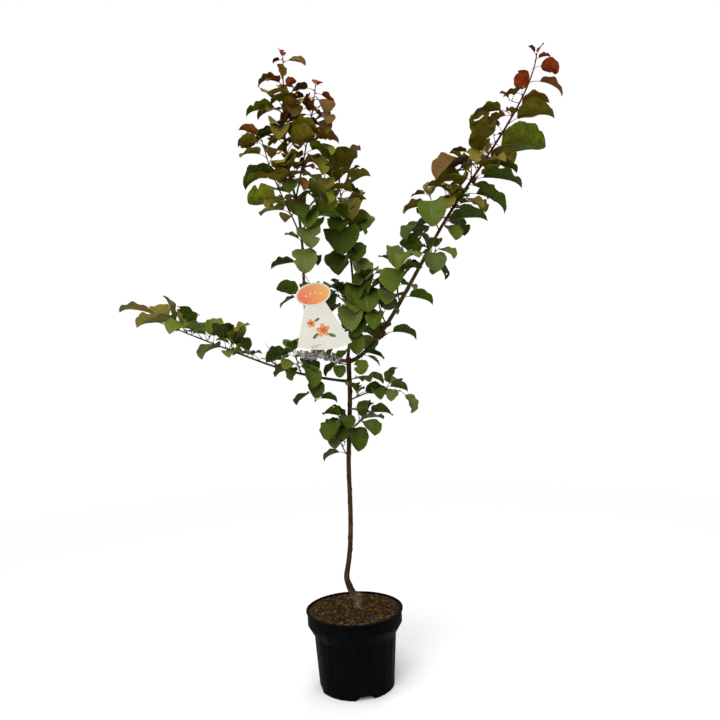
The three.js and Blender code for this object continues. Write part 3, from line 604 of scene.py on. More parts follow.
LEAF = {
    "petiole": 0.4,
    "petiole_lift": 40,
    "steepest_petiole": 62,
    "half_width": 0.47,
    "fold": [18, 42],
    "arch": [0.25, 0.85],
    "roll": 24,
    "placed_roll": 8,
    "centre": 0.45,
    "forward": [0.1, 0.8],
    "lift": -0.12,
    "nodes": [0.06, 0.93],
    "last_node": 0.985,
}
# Powers at the foot and tip of the rule's outline, and its height at its widest place.
OUTLINE = {"foot": 0.55, "tip": 0.85, "peak": 0.3916}
# The seeded rule: how many seeds a shoot has and which is the first for a leaf that it adds, where
# such a leaf stands in its step and how far it strays, in degrees, in lift and in length.
RULE = {
    "seeds": 100,
    "first_added": 50,
    "place": 0.2,
    "place_stray": 0.6,
    "shoot_turn": 40,
    "turn_stray": 30,
    "lift_stray": 0.5,
    "shortest": 0.8,
    "length_stray": 0.35,
}
# Clearance that a leaf keeps from limbs and other leaves: a share of its length and a distance.
ROOM = {
    "limb_share": 0.05,
    "limb_gap": 1.5,
    "leaf_share": 0.04,
    "leaf_gap": 0.8,
    "steps": 8,
    "across": 4,
    "stalk": [0.55, 0.8],
}
# The clearance of the leaves that the solids leave out.
TIGHT_ROOM = {"limb_share": 0.03, "limb_gap": 0.6, "leaf_share": 0.01, "leaf_gap": 0.6}
# Degrees by which a leaf is turned, one after the other, until it finds room.
TURNS = [0, 14, -14, 28, -28, 45, -45, 70, -70, 100, -100]

# The tag's centre is where its header meets its fan, and its strap passes round a bough.
TAG = {
    "centre": [-65, -64, 948],
    "tilt": 9.4,
    "thickness": 1.2,
    "header_radius": [43, 28],
    "fan_sink": 8,
    "fan_top": 24,
    "fan_length": 117,
    "fan_half_angle": 22,
    "fan_skew": 0.05,
    "clear": 7,
    "strap_height": 1024,
    "strap_wire": 0.9,
    "strap_slack": 0.4,
    "eye_height": 46,
    "fan_steps": 24,
}
# Faces round the strap, steps round its ring and along its run, and how far in millimetres the run
# bows out and down at the ring, and aside and up at the eye.
STRAP = {"facets": 8, "ring_steps": 28, "steps": 10, "out": 6, "down": 4, "aside": 1.5, "up": 8}
# The tag's print in millimetres from its centre: place and size of each flower, place, size and
# turn in radians of each sprig, place and width of each bar, and place of each dot.
PRINT = {
    "margin": 4,
    "flowers": [(6, -62, 15), (-19, -40, 10)],
    "petals": 5,
    "petal_out": 0.62,
    "petal_long": 0.52,
    "petal_wide": 0.38,
    "heart": 0.26,
    "sprigs": [(25, -78, 10, 4.2, -0.5), (-14, -72, 9, 3.8, 0.6), (-3, -34, 7, 3, 0.4)],
    "bars": [(-30, -96, 26), (-30, -100, 17)],
    "bar_height": 1.6,
    "dots": [(-18, 27), (-6, 31), (6, 31), (18, 27)],
    "dot_radius": 2.2,
    "points": 20,
    "dot_points": 16,
}
# How far in millimetres each layer stands out from the card or the header under it.
LAYERS = {
    "header": 0.25,
    "header_print": 0.15,
    "petals": 0.3,
    "hearts": 0.45,
    "sprigs": 0.2,
    "bars": 0.12,
    "dots": 0.25,
}
FAN_APEX = TAG["fan_top"] / math.tan(math.radians(TAG["fan_half_angle"]))
FAN_RADIUS = FAN_APEX + TAG["fan_length"]
FAN_REACH = FAN_RADIUS * (1 + TAG["fan_skew"]) * math.sin(math.radians(TAG["fan_half_angle"]))

# Short spurs that the solids leave out, one for each pitch of stem up to the last share of it. leaves
# is how few and how many small leaves each has, and leaf_step how far apart those stand along it.
SPUR = {
    "pitch": 62,
    "place": [0.2, 0.8],
    "last": 0.8,
    "shoot_turn": 70,
    "length": [12, 34],
    "radius": [1.1, 0.7],
    "rise": [15, 65],
    "guides": [0.35, 0.7],
    "sag": 1.5,
    "steps": 3,
    "leaves": [2, 3],
    "blade": [26, 44],
    "leaf_roll": 24,
    "leaf_turn": 20,
    "leaf_rise": [-25, 45],
    "leaf_step": 0.25,
}

# How far in millimetres a leaf of a mass's fill, or a spur's leaf, may reach beyond the box of its
# solid, and by how much a fill's seeds stand off from its mass's.
FILL_SPARE = 8
SPUR_SPARE = 1
FILL_SEEDS = 1000

# Bare dead twigs that the solids leave out: the points that each passes and its two radii.
DEAD_TWIGS = [
    {"through": [[-168, -28, 803], [-178, -31, 832], [-193, -34, 863]], "radius": [1.1, 0.5]},
    {"through": [[-166, -28, 805], [-188, -32, 821], [-207, -35, 826]], "radius": [2.0, 1.1]},
    {"through": [[31, -18, 664], [28, -20, 683], [21, -21, 696]], "radius": [1.1, 0.5]},
    {"through": [[28, -20, 680], [36, -21, 693], [46, -22, 700], [51, -22, 698]], "radius": [0.9, 0.4]},
]

# How each kind of limb is drawn: faces round it, height of its bark's ridges and distance between
# its bud swellings in millimetres, the seed of its ridges, and for some the distance between rings.
LIMBS = {
    "trunk": {"facets": 36, "ridges": 0.5, "pitch": 31, "seed": 1.0, "step": 2.5},
    "stub": {"facets": 28, "ridges": 1.0, "pitch": 17, "seed": 4.0, "step": 2.0},
    "bough": {"facets": 20, "ridges": 0.3, "pitch": 27, "seed": 2.0},
    "stem": {"facets": 9, "ridges": 0.15, "pitch": 24, "seed": 0},
    "dead_twig": {"facets": 8, "ridges": 0.12, "pitch": 12, "seed": 0, "step": 3.0},
    "snag": {"facets": 12, "ridges": 0.4, "pitch": 12, "seed": 3.0, "step": 3.0},
}
# The ridges' scale across and along Z and their octaves, the reach in millimetres of a bud swelling
# along the limb, its height as a share of the radius, and the power that narrows it round the limb.
RIDGES = {
    "across": 0.6,
    "along": 0.09,
    "octaves": 4,
    "swelling_reach": 4.5,
    "swelling": 0.22,
    "narrow": 3,
}
# Dark, light and speckle colour of each bark, the scales of its grain and pores, and its depth in
# metres. Boughs that aren't named here have the bark called bough.
BARKS = {
    "trunk": ("22170d", "45321e", "5e4f38", 260, 150, 0.0012),
    "stub": ("3a3022", "6c5e46", "857a62", 190, 110, 0.0016),
    "bough": ("2a190b", "64431d", "806a44", 300, 190, 0.0007),
    # The right bough's bark is painted lighter than the other boughs': painted light on its upper stretch,
    # which its leaves shade.
    "bough_right": ("442c0f", "7c5624", "92794a", 300, 190, 0.0007),
    "bough_left": ("20150a", "44311a", "5e4e38", 300, 190, 0.0007),
    "stem": ("241b0d", "45361a", "584c30", 320, 220, 0.0005),
    "red_stem": ("2e140e", "562617", "70483a", 320, 220, 0.0005),
    "crust": ("544d44", "c8c2bb", "efebe5", 170, 160, 0.0015),
}
# A bark's foot in other colours, which gives way to it between two heights in metres. The trunk's
# is the rootstock below the graft. The right bough's darker foot leaves the bark above it painted
# lighter: painted light where its leaves shade it.
BARK_FOOT = {
    "trunk": {"dark": "3a3022", "light": "6c5e46", "ends": (0.222, 0.25)},
    "bough_right": {"dark": "24180c", "light": "4a351b", "ends": (0.86, 1.0)},
}
# How much a bough thickens towards its tip, and its further bulge half way as a share of that.
BOUGH_SWELL = {"bough_right": 0.3}
BOUGH_BULGE = 0.6
# How much a bough flares where it leaves the trunk, and over how many millimetres that fades.
BOUGH_FLARE = {"share": 0.35, "reach": 9}
# How many times as thick as the solids' the finer stems are at their foot and tip.
STEM_SWELL = {"foliage_right_top": [1.3, 1.6], "other": [1.0, 1.25]}
# The part of its mass's tints that a twig's leaves run through, and how far any leaf's tint strays.
TWIG_TINT = 0.4
TINT_STRAY = 0.12
# The last tints of the masses whose stems are red, and the tints of the leaves with red stalks.
RED_STEM_TINTS = ("crimson", "red", "brown")
RED_STALK_TINTS = ("bronze", "brown", "red", "crimson")
# The pale flaking crust on the first bough under the tag and on the snag beside it: its ends as
# shares along a limb, the flakes' sizes and how far they stand out in millimetres, their breadth
# and thickness as shares of their size, and the snag's rows of place and radius. Every third flake
# lies on the snag.
CRUST = {
    "seed": 5,
    "bough": "bough_upper_left_foot",
    "ends": [0.13, 0.98],
    "flakes": 300,
    "snag_every": 3,
    "size": [2.4, 6.5],
    "stand": [-0.5, 8],
    "breadth": [0.5, 0.9],
    "thickness": 0.35,
    "rough": 1.2,
    "rough_scale": 0.5,
    "snag": [[-62, -12, 823, 3.2], [-92, -15, 829, 2.6], [-117, -18, 836, 1.6]],
}
# A bud's lean upwards, its distance from the node and its size in millimetres.
BUD = {"lean": 0.9, "out": 2.6, "up": 0.8, "radius": 1.25, "radius_share": 0.006, "long": 2.1}
# A leaf's stalk: its radius in millimetres and what the leaf's length adds to it, its taper, where
# it meets the midrib and the place that it aims for, each with how far below them in radii and in
# millimetres, its bend as shares of its run and of the leaf's length, and the places at which it
# runs on under the midrib, a gap below it.
STALK = {
    "radius": 0.55,
    "radius_share": 0.0042,
    "taper": [1.25, 0.9],
    "meets": 0.06,
    "below": 0.5,
    "aims": 0.3,
    "aims_below": 0.5,
    "bend": 0.4,
    "bend_lift": 0.06,
    "bend_back": 0.16,
    "steps": 7,
    "facets": 5,
    "under": [0.2, 0.4, 0.6],
    "under_gap": 0.35,
    "under_taper": 0.85,
}

# Faces along and across a leaf's blade, and what its own surface adds to the rule's folded one:
# teeth, waves, twist and droop as shares of its size or degrees, the powers of its rounder outline
# at the foot and tip, and how often and how deep it is bitten or holed.
BLADE = {
    "along": 20,
    "across": 4,
    "tooth": 0.014,
    "tooth_from": 0.9,
    "wave": 0.05,
    "placed_wave": 0.036,
    "waves": [1.6, 3.2],
    "twist": 24,
    "placed_twist": 12,
    "twist_about": 0.35,
    "droop": 0.07,
    "droop_from": 0.72,
    "foot": 0.5,
    "tip": 0.62,
    "round": 0.3,
    "ragged": 0.07,
    "slow_sway": [0.6, 1.2],
    "quick_sway": [0.4, 3.3],
    "bitten": 0.35,
    "bite_place": [0.3, 0.85],
    "bite_depth": [0.2, 0.6],
    "bite_width": [0.035, 0.08],
    "holed": 0.22,
    "holes": [1, 2],
}
# What is added to a leaf's length to seed the draws for each use, and the seed of the leaves' tones.
LEAF_DRAWS = {"surface": 0, "edge": 7, "holes": 13}
TONE_SEED = 7

# Colour of each tint's upper side and underside, in sRGB.
TINTS = {
    "deep": ("2b3c05", "38460d"),
    "green": ("425607", "4e5a18"),
    "fresh": ("5d660d", "60681b"),
    "grey": ("404b19", "4e5828"),
    "olive": ("6a6014", "60581a"),
    "bronze": ("7e5c1a", "765c1e"),
    # umber is brown painted darker: painted shade for leaves that face the lights.
    "umber": ("4e3411", "563d19"),
    "brown": ("824a18", "7c5224"),
    "red": ("8e2e10", "86401c"),
    "crimson": ("5e1010", "661e18"),
}

# A leaf's veins as shares of its blade: half width of the midrib, slant, spacing and half width of
# the side veins, how strong those are, and the colour and strength of all on each side.
VEINS = {
    "midrib": 0.035,
    "slant": 0.5,
    "spacing": 0.055,
    "width": 0.012,
    "side_strength": 0.7,
    "upper": ("8c9038", 0.2),
    "under": ("84884a", 0.22),
}

# The share of a leaf's colour that its dark mottles keep.
MOTTLE_SHADE = 0.55

# The plainer finishes: dark and light colour, scale of the grain, range of roughness and depth of
# the relief in metres.
FINISHES = {
    "bud_scales": ("3a1e16", "6a3a28", 500, (0.4, 0.6), 0.0003),
    "green_stalk": ("5a5a2a", "8a8a48", 200, (0.4, 0.55), 0.0002),
    "red_stalk": ("6a2c20", "96503a", 200, (0.4, 0.55), 0.0002),
    "tan_wood": ("554218", "7e682e", 160, (0.7, 0.9), 0.0004),
    "brown_wood": ("38260a", "5a3f14", 160, (0.7, 0.9), 0.0004),
    "dark_bark": ("150d06", "2c1d0b", 160, (0.75, 0.95), 0.0005),
    "tag_card": ("c6c4b8", "cac8bd", 90, (0.4, 0.5), 0.0001),
    "petal_peach": ("c87444", "d89a70", 90, (0.4, 0.5), 0.0001),
    "petal_orange": ("a8440f", "c46a22", 90, (0.4, 0.5), 0.0001),
    "printed_leaf": ("24562f", "48784a", 90, (0.4, 0.5), 0.0001),
    "printed_grey": ("8a887f", "9a988f", 90, (0.4, 0.5), 0.0001),
    "strap_plastic": ("8a8880", "a6a49c", 200, (0.3, 0.4), 0.0001),
}
# The header's colour changes from its left foot to its right top: how much of that is upwards, and
# where it starts and ends from the middle in metres.
HEADER_SLOPE = {"upwards": 0.6, "start": -0.035, "end": 0.04}

# The floor fades out between two distances from the plant, in metres, and ends a margin beyond them.
FLOOR = {"near": 0.35, "far": 2.8, "margin": 0.1, "facets": 96}
ROOM_LIGHT = 0.55
# The photograph's view: place in metres, focal length and sensor in millimetres, roll in degrees.
CAMERA = {"place": (0.0378, -1.72, 0.8123), "lens": 34.15, "sensor": 36, "roll": -2.2}
LIGHTS_AIM = (0, 0, 0.8)
# Place in metres, size and power of each light.
LIGHTS = {
    "top_light": ((-0.5, -0.9, 3.6), 2.2, 75),
    "front_light": ((-1.0, -3.0, 2.0), 1.8, 60),
    "back_light": ((0.9, 2.2, 2.9), 1.8, 32),
}


def mix(pair, share):
    return pair[0] + (pair[1] - pair[0]) * share


def seeded(seed):
    """A run of numbers from 0 to 1 that is the same for the same seed, and the same as the solids'."""
    state = (seed * SEED_SPREAD) % DRAW_PRIME

    def draw():
        nonlocal state
        state = (state * DRAW_FACTOR) % DRAW_PRIME
        return state / DRAW_PRIME

    return draw


def unit(v):
    return v / np.linalg.norm(v)


def heading(bearing, rise):
    b = math.radians(bearing)
    r = math.radians(rise)
    return np.array((math.cos(r) * math.cos(b), math.cos(r) * math.sin(b), math.sin(r)))


def ring_at(point, tangent, radius, reference):
    """A cross-section of a limb: its centre, its direction and two cross directions."""
    side = unit(np.cross(reference, tangent))
    front = np.cross(side, tangent)
    return {"point": point, "tangent": tangent, "side": side, "front": front, "radius": radius}


def curve_rings(guides, radius, steps):
    """Rings along one curve with four guide points, from one radius to another."""
    a, b, c, d = (np.array(g, float) for g in guides)
    run = unit(d - a)
    reference = UP if abs(run[1]) > MOST_SIDEWAYS else SIDEWAYS
    rings = []
    for i in range(steps + 1):
        t = i / steps
        u = 1 - t
        point = u**3 * a + 3 * u * u * t * b + 3 * u * t * t * c + t**3 * d
        tangent = unit(3 * u * u * (b - a) + 6 * u * t * (c - b) + 3 * t * t * (d - c))
        rings.append(ring_at(point, tangent, mix(radius, t), reference))
    return rings


def guides_of(plan, boughs):
    """The four guide points of a bough or stem. One that follows another starts beyond its tip."""
    points = [np.array(p, float) for p in plan["curve"]]
    if "follows" not in plan:
        return points
    last = boughs[plan["follows"]]["rings"][-1]
    lead = np.linalg.norm(last["point"] - points[1]) * LEAD
    return [last["point"] + last["tangent"] * GAP, last["point"] + last["tangent"] * lead, *points]


def along(rings, share):
    """The point at a share along the rings, with the frame of the nearest ring before it."""
    place = min(max(share, 0), LAST_PLACE) * (len(rings) - 1)
    before = rings[int(place)]
    after = rings[int(place) + 1]
    return {**before, "point": before["point"] + (after["point"] - before["point"]) * (place % 1)}


def outline(t):
    """Share of the greatest half width at t along a blade: broad near the foot, drawn to a point."""
    return t ** OUTLINE["foot"] * (1 - t) ** OUTLINE["tip"] / OUTLINE["peak"]


class Blade:
    """A leaf's blade as an arched midrib with two halves folded up along it."""

    def __init__(self, node, bearing, rise, length, roll, fold, arch):
        steep = min(rise + LEAF["petiole_lift"], max(rise, LEAF["steepest_petiole"]))
        b = math.radians(bearing)
        c = math.cos(math.radians(roll))
        s = math.sin(math.radians(roll))
        chord = heading(bearing, rise)
        level = np.array((math.sin(b), -math.cos(b), 0.0))
        upper = np.cross(level, chord)
        normal = upper * c - level * s
        self.node = node
        self.foot = node + heading(bearing, steep) * LEAF["petiole"] * length
        self.length = length
        self.fold = math.radians(fold)
        self.arch = arch
        self.side = level * c + upper * s
        self.start = chord * math.cos(arch / 2) + normal * math.sin(arch / 2)
        self.rest = normal * math.cos(arch / 2) - chord * math.sin(arch / 2)

    def midrib(self, t):
        t = np.asarray(t, float)[..., None]
        angle = self.arch * t
        ahead = self.start * (np.sin(angle) / self.arch)
        down = self.rest * ((1 - np.cos(angle)) / self.arch)
        return self.foot + (ahead - down) * self.length

    def normal(self, t):
        angle = self.arch * np.asarray(t, float)[..., None]
        return self.rest * np.cos(angle) + self.start * np.sin(angle)

    def point(self, t, v):
        t = np.asarray(t, float)
        reach = (LEAF["half_width"] * self.length * outline(t) * v)[..., None]
        raised = self.normal(t) * np.abs(reach) * math.sin(self.fold)
        return self.midrib(t) + self.side * reach * math.cos(self.fold) + raised


def sample_grid():
    """Where along and across a blade its clearance is measured: only the midrib at its two ends."""
    steps, across = ROOM["steps"], ROOM["across"]
    inner = [(i / steps, j / across) for i in range(1, steps) for j in range(-across, across + 1)]
    return np.array([(0, 0), *inner, (1, 0)], float)


SAMPLE_GRID = sample_grid()


def samples_of(blade):
    stalk = [blade.node + (blade.foot - blade.node) * share for share in ROOM["stalk"]]
    return np.vstack([blade.point(SAMPLE_GRID[:, 0], SAMPLE_GRID[:, 1]), *stalk])


def in_tag_frame(points):
    """Points in the tag's own frame: x across it, z up it and y through it."""
    turn = math.radians(TAG["tilt"])
    x, y, z = (points - np.array(TAG["centre"], float)).T
    return np.stack([x * math.cos(turn) + z * math.sin(turn), y, -x * math.sin(turn) + z * math.cos(turn)])


def near_tag(points):
    x, y, z = in_tag_frame(points)
    top = 2 * TAG["header_radius"][1] + TAG["clear"]
    wide = np.abs(x) < FAN_REACH + TAG["clear"]
    tall = (z > -TAG["fan_length"] - TAG["clear"]) & (z < top)
    return bool(np.any(wide & tall & (np.abs(y) < TAG["clear"])))


def segments_of(limbs):
    """Every straight stretch of every limb: its ends, the radius at its start and whose it is."""
    rows = []
    for limb in limbs:
        for before, after in zip(limb["rings"], limb["rings"][1:]):
            rows.append((before["point"], after["point"], before["radius"], id(limb)))
    starts, ends, radii, owners = (np.array(column) for column in zip(*rows))
    return {"start": starts, "end": ends, "radius": radii, "owner": owners}


def distance_to(points, starts, ends):
    """Distance of each point from each stretch."""
    run = ends - starts
    offset = points[:, None, :] - starts[None, :, :]
    share = np.clip((offset * run).sum(-1) / (run * run).sum(-1), 0, 1)
    return np.linalg.norm(offset - run * share[..., None], axis=-1)


def has_room(blade, shoot, segments, leaves, room):
    """Whether a leaf keeps its distance from limbs, shoots, the tag and the leaves already there."""
    samples = samples_of(blade)
    middle = blade.midrib(LEAF["centre"])
    reach = room["limb_share"] * blade.length + room["limb_gap"]
    spans = np.linalg.norm(segments["end"] - segments["start"], axis=1)
    close = distance_to(middle[None], segments["start"], segments["end"])[0] <= blade.length + spans
    own = segments["owner"] == id(shoot)
    for part, chosen in ((samples, close & ~own), (samples[: -len(ROOM["stalk"])], close & own)):
        if chosen.any():
            gaps = distance_to(part, segments["start"][chosen], segments["end"][chosen])
            if np.any(gaps < reach + segments["radius"][chosen]):
                return False
    if near_tag(samples):
        return False
    for leaf in leaves:
        if np.linalg.norm(leaf["middle"] - middle) > leaf["blade"].length + blade.length:
            continue
        apart = room["leaf_share"] * (leaf["blade"].length + blade.length) + room["leaf_gap"]
        gaps = samples[:, None, :] - leaf["samples"][None, :, :]
        if (gaps * gaps).sum(-1).min() < apart * apart:
            return False
    return True


def shoots_of(name, mass, boughs):
    """Every shoot of a mass: its stem and the twigs that stand on it."""
    guides = guides_of(mass, boughs)
    rings = curve_rings(guides, mass["radius"], STEM_STEPS)
    stem = {"mass": name, "plan": mass, "guides": guides, "rings": rings, "stem": True}
    shoots = [stem]
    for twig in mass.get("twigs", []):
        share, bearing, rise, length = twig["place"]
        foot = along(stem["rings"], share)["point"]
        tip = foot + heading(bearing, rise) * length
        low, high = (foot + (tip - foot) * reach for reach in TWIG["guides"])
        guides = [foot, low - UP * TWIG["bow"] * length, high, tip]
        rings = curve_rings(guides, TWIG["radius"], TWIG["steps"])
        plan = {**mass, "nodes": LEAF["nodes"], **twig}
        shoots.append({"mass": name, "plan": plan, "guides": guides, "rings": rings, "stem": False})
    return shoots


def tint_at(shoot, share, draw):
    """The tint at a share along a shoot; a twig goes on from the place where it stands."""
    tints = MASSES[shoot["mass"]]["tints"]
    if not shoot["stem"]:
        share = shoot["plan"]["place"][0] + TWIG_TINT * share
    place = min(max(share + TINT_STRAY * (draw - 0.5), 0), 1) * (len(tints) - 1)
    return tints[round(place)]


def wishes_of(shoot):
    """The leaves that a shoot asks for: those listed, then those of the seeded rule."""
    plan, rings = shoot["plan"], shoot["rings"]
    first_seed = plan["seed"] * RULE["seeds"]
    placed = []
    for i, row in enumerate(plan["leaves"]):
        share, bearing, rise, length, roll, tint = [*row, *[0, None][len(row) - 4 :]]
        draw = seeded(first_seed + i)
        roll += LEAF["placed_roll"] * (2 * draw() - 1)
        shape = (length, roll, mix(LEAF["fold"], draw()), mix(LEAF["arch"], draw()))
        tint = tint or tint_at(shoot, share, draw())
        placed.append((shoot, share, bearing, rise, shape, tint, True))
    grown = []
    for i in range(plan["more"]):
        draw = seeded(first_seed + RULE["first_added"] + i)
        step = (i + RULE["place"] + RULE["place_stray"] * draw()) / plan["more"]
        share = mix(plan.get("nodes", LEAF["nodes"]), step)
        turn = plan["seed"] * RULE["shoot_turn"] + i * GOLDEN_ANGLE + RULE["turn_stray"] * draw()
        turn = math.radians(turn)
        ring = along(rings, share)
        forward = mix(plan.get("forward", LEAF["forward"]), share * share)
        lean = ring["side"] * math.cos(turn) + ring["front"] * math.sin(turn) + ring["tangent"] * forward
        lift = plan.get("lift", LEAF["lift"]) + RULE["lift_stray"] * (draw() - 0.5)
        lean = unit(lean + UP * lift)
        bearing = math.degrees(math.atan2(lean[1], lean[0]))
        rise = math.degrees(math.asin(lean[2]))
        length = mix(plan["blade"], share) * (RULE["shortest"] + RULE["length_stray"] * draw())
        roll = LEAF["roll"] * (2 * draw() - 1)
        shape = (length, roll, mix(LEAF["fold"], draw()), mix(LEAF["arch"], draw()))
        grown.append((shoot, share, bearing, rise, shape, tint_at(shoot, share, draw()), False))
    return placed, grown


def grow(wishes, segments, leaves, room=ROOM):
    """Adds to leaves those wishes that find room."""
    for shoot, share, bearing, rise, (length, roll, fold, arch), tint, placed in wishes:
        node = along(shoot["rings"], min(share, LEAF["last_node"]))["point"]
        for turn in TURNS:
            blade = Blade(node, bearing + turn, rise, length, roll, fold, arch)
            if has_room(blade, shoot, segments, leaves, room):
                leaves.append({
                    "blade": blade,
                    "shoot": shoot,
                    "tint": tint,
                    "placed": placed,
                    "middle": blade.midrib(LEAF["centre"]),
                    "samples": samples_of(blade),
                })
                break


def spurs_of(shoot):
    """Short spurs along a shoot, with the small leaves that each asks for."""
    draw = random.Random(shoot["plan"]["seed"])
    rings = shoot["rings"]
    whole = sum(np.linalg.norm(b["point"] - a["point"]) for a, b in zip(rings, rings[1:]))
    low, high = SPUR["guides"]
    spurs, wishes = [], []
    count = round(whole / SPUR["pitch"])
    for i in range(count):
        share = (i + draw.uniform(*SPUR["place"])) / count
        if share > SPUR["last"]:
            continue
        foot = along(rings, share)["point"]
        bearing = shoot["plan"]["seed"] * SPUR["shoot_turn"] + i * GOLDEN_ANGLE
        reach = heading(bearing, draw.uniform(*SPUR["rise"])) * draw.uniform(*SPUR["length"])
        guides = [foot, foot + reach * low - UP * SPUR["sag"], foot + reach * high, foot + reach]
        own_rings = curve_rings(guides, SPUR["radius"], SPUR["steps"])
        spur = {**shoot, "guides": guides, "rings": own_rings, "stem": False}
        spurs.append(spur)
        for j in range(draw.randint(*SPUR["leaves"])):
            length = draw.uniform(*SPUR["blade"])
            roll = draw.uniform(-SPUR["leaf_roll"], SPUR["leaf_roll"])
            shape = (length, roll, draw.uniform(*LEAF["fold"]), draw.uniform(*LEAF["arch"]))
            tint = tint_at(shoot, share, draw.random())
            turn = bearing + j * GOLDEN_ANGLE + draw.uniform(-SPUR["leaf_turn"], SPUR["leaf_turn"])
            rise = draw.uniform(*SPUR["leaf_rise"])
            wishes.append((spur, 1 - SPUR["leaf_step"] * j, turn, rise, shape, tint, False))
    return spurs, wishes


def inside_node(leaf, spare):
    """Whether a leaf stays in the box of its mass's solid, with some millimetres to spare."""
    low, high = (np.array(corner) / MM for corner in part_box(leaf["shoot"]["mass"]))
    return bool(np.all(leaf["samples"] >= low - spare) and np.all(leaf["samples"] <= high + spare))


def fill_of(shoot):
    """The listed leaves that only the visual model has. They stand on stems."""
    if not shoot["stem"]:
        return []
    plan = shoot["plan"]
    fill = {**plan, "leaves": plan.get("fill", []), "seed": plan["seed"] + FILL_SEEDS, "more": 0}
    placed, _ = wishes_of({**shoot, "plan": fill})
    return [(shoot, *wish[1:]) for wish in placed]


def grow_extra(wishes, segments, leaves, spare):
    """Adds leaves that the solids leave out, where they stay near their solid, and returns them."""
    count = len(leaves)
    grow(wishes, segments, leaves, TIGHT_ROOM)
    leaves[count:] = [leaf for leaf in leaves[count:] if inside_node(leaf, spare)]
    return leaves[count:]


def plan_plant():
    """The limbs, shoots, spurs and leaves of the whole plant."""
    boughs = {}
    for name, plan in BOUGHS.items():
        boughs[name] = {"rings": curve_rings(guides_of(plan, boughs), plan["radius"], BOUGH_STEPS)}
    trunk = {"rings": [ring_at(np.array(row[:3], float), UP, row[3], SIDEWAYS) for row in TRUNK]}
    shoots = [shoot for name, mass in MASSES.items() for shoot in shoots_of(name, mass, boughs)]
    segments = segments_of([trunk, *boughs.values(), *shoots])
    wishes = [wishes_of(shoot) for shoot in shoots]
    leaves = []
    grow([w for placed, _ in wishes for w in placed], segments, leaves)
    grow([w for _, grown in wishes for w in grown], segments, leaves)
    for shoot in shoots:
        grow_extra(fill_of(shoot), segments, leaves, FILL_SPARE)
    spurs = []
    for shoot in shoots:
        made, asked = spurs_of(shoot)
        added = grow_extra(asked, segments, leaves, SPUR_SPARE)
        used = {id(leaf["shoot"]) for leaf in added}
        spurs += [spur for spur in made if id(spur) in used]
    return boughs, shoots, spurs, leaves


def srgb(code):
    """A linear colour with alpha from a hexadecimal sRGB one."""
    parts = [int(code[i : i + 2], 16) / 255 for i in (0, 2, 4)]
    return (*[p / 12.92 if p <= 0.04045 else ((p + 0.055) / 1.055) ** 2.4 for p in parts], 1)


def add_node(tree, kind, inputs=(), **settings):
    """A shader node, with its settings and what feeds or fills its inputs."""
    node = tree.nodes.new("ShaderNode" + kind)
    for key, value in settings.items():
        setattr(node, key, value)
    for key, value in dict(inputs).items():
        if isinstance(value, bpy.types.NodeSocket):
            tree.links.new(value, node.inputs[key])
        else:
            node.inputs[key].default_value = value
    return node


def math_node(tree, operation, *values):
    return add_node(tree, "Math", dict(enumerate(values)), operation=operation).outputs[0]


def ramp_to(tree, value, low, high, out_low=0.0, out_high=1.0):
    """A value taken evenly from one range to another, and held at its ends."""
    inputs = {"Value": value, "From Min": low, "From Max": high, "To Min": out_low, "To Max": out_high}
    return add_node(tree, "MapRange", inputs).outputs[0]


def mixed(tree, share, a, b):
    return add_node(tree, "Mix", {0: share, 6: a, 7: b}, data_type="RGBA").outputs[2]


def place_on(tree, scale=(1, 1, 1)):
    """The piece's own coordinates in metres, stretched by scale."""
    coordinates = add_node(tree, "TexCoord").outputs["Object"]
    return add_node(tree, "Mapping", {"Vector": coordinates, "Scale": scale}).outputs[0]


def noise_on(tree, scale, detail=3.0, stretch=(1, 1, 1)):
    inputs = {"Vector": place_on(tree, stretch), "Scale": scale, "Detail": detail}
    return add_node(tree, "TexNoise", inputs).outputs[0]


def spots_on(tree, scale, stretch=(1, 1, 1)):
    """Distance from the nearest of many scattered points."""
    inputs = {"Vector": place_on(tree, stretch), "Scale": scale}
    return add_node(tree, "TexVoronoi", inputs).outputs["Distance"]


SOCKETS = {"roughness": "Roughness", "specular": "Specular IOR Level"}


def new_material(name, **sockets):
    material = bpy.data.materials.new(name)
    material.use_nodes = True
    shader = material.node_tree.nodes["Principled BSDF"]
    for key, value in sockets.items():
        shader.inputs[SOCKETS[key]].default_value = value
    return material, material.node_tree, shader


def feed(tree, shader, color=None, roughness=None, height=None, depth=0.001, strength=0.5):
    """Joins a colour, a roughness and a relief in metres to the shader."""
    if color is not None:
        tree.links.new(color, shader.inputs["Base Color"])
    if roughness is not None:
        tree.links.new(roughness, shader.inputs["Roughness"])
    if height is not None:
        bump = add_node(tree, "Bump", {"Strength": strength, "Distance": depth, "Height": height})
        tree.links.new(bump.outputs[0], shader.inputs["Normal"])


def scaled(tree, value, share):
    return math_node(tree, "MULTIPLY", value, share)


def veins_on(tree):
    """How much of a vein lies at each place of a blade: the midrib and its slanting side veins."""
    place = add_node(tree, "UVMap", uv_map="blade").outputs[0]
    place = add_node(tree, "SeparateXYZ", {0: place})
    ahead, aside = place.outputs[0], place.outputs[1]
    aside = math_node(tree, "ABSOLUTE", math_node(tree, "SUBTRACT", aside, 0.5))
    midrib = ramp_to(tree, aside, 0.0, VEINS["midrib"], 1.0, 0.0)
    slant = math_node(tree, "SUBTRACT", ahead, scaled(tree, aside, VEINS["slant"]))
    off = math_node(tree, "PINGPONG", slant, VEINS["spacing"])
    sides = ramp_to(tree, off, 0.0, VEINS["width"], VEINS["side_strength"], 0.0)
    return math_node(tree, "MAXIMUM", midrib, sides)


def veined(tree, veins, color, side):
    vein_color, strength = VEINS[side]
    return mixed(tree, scaled(tree, veins, strength), color, srgb(vein_color))


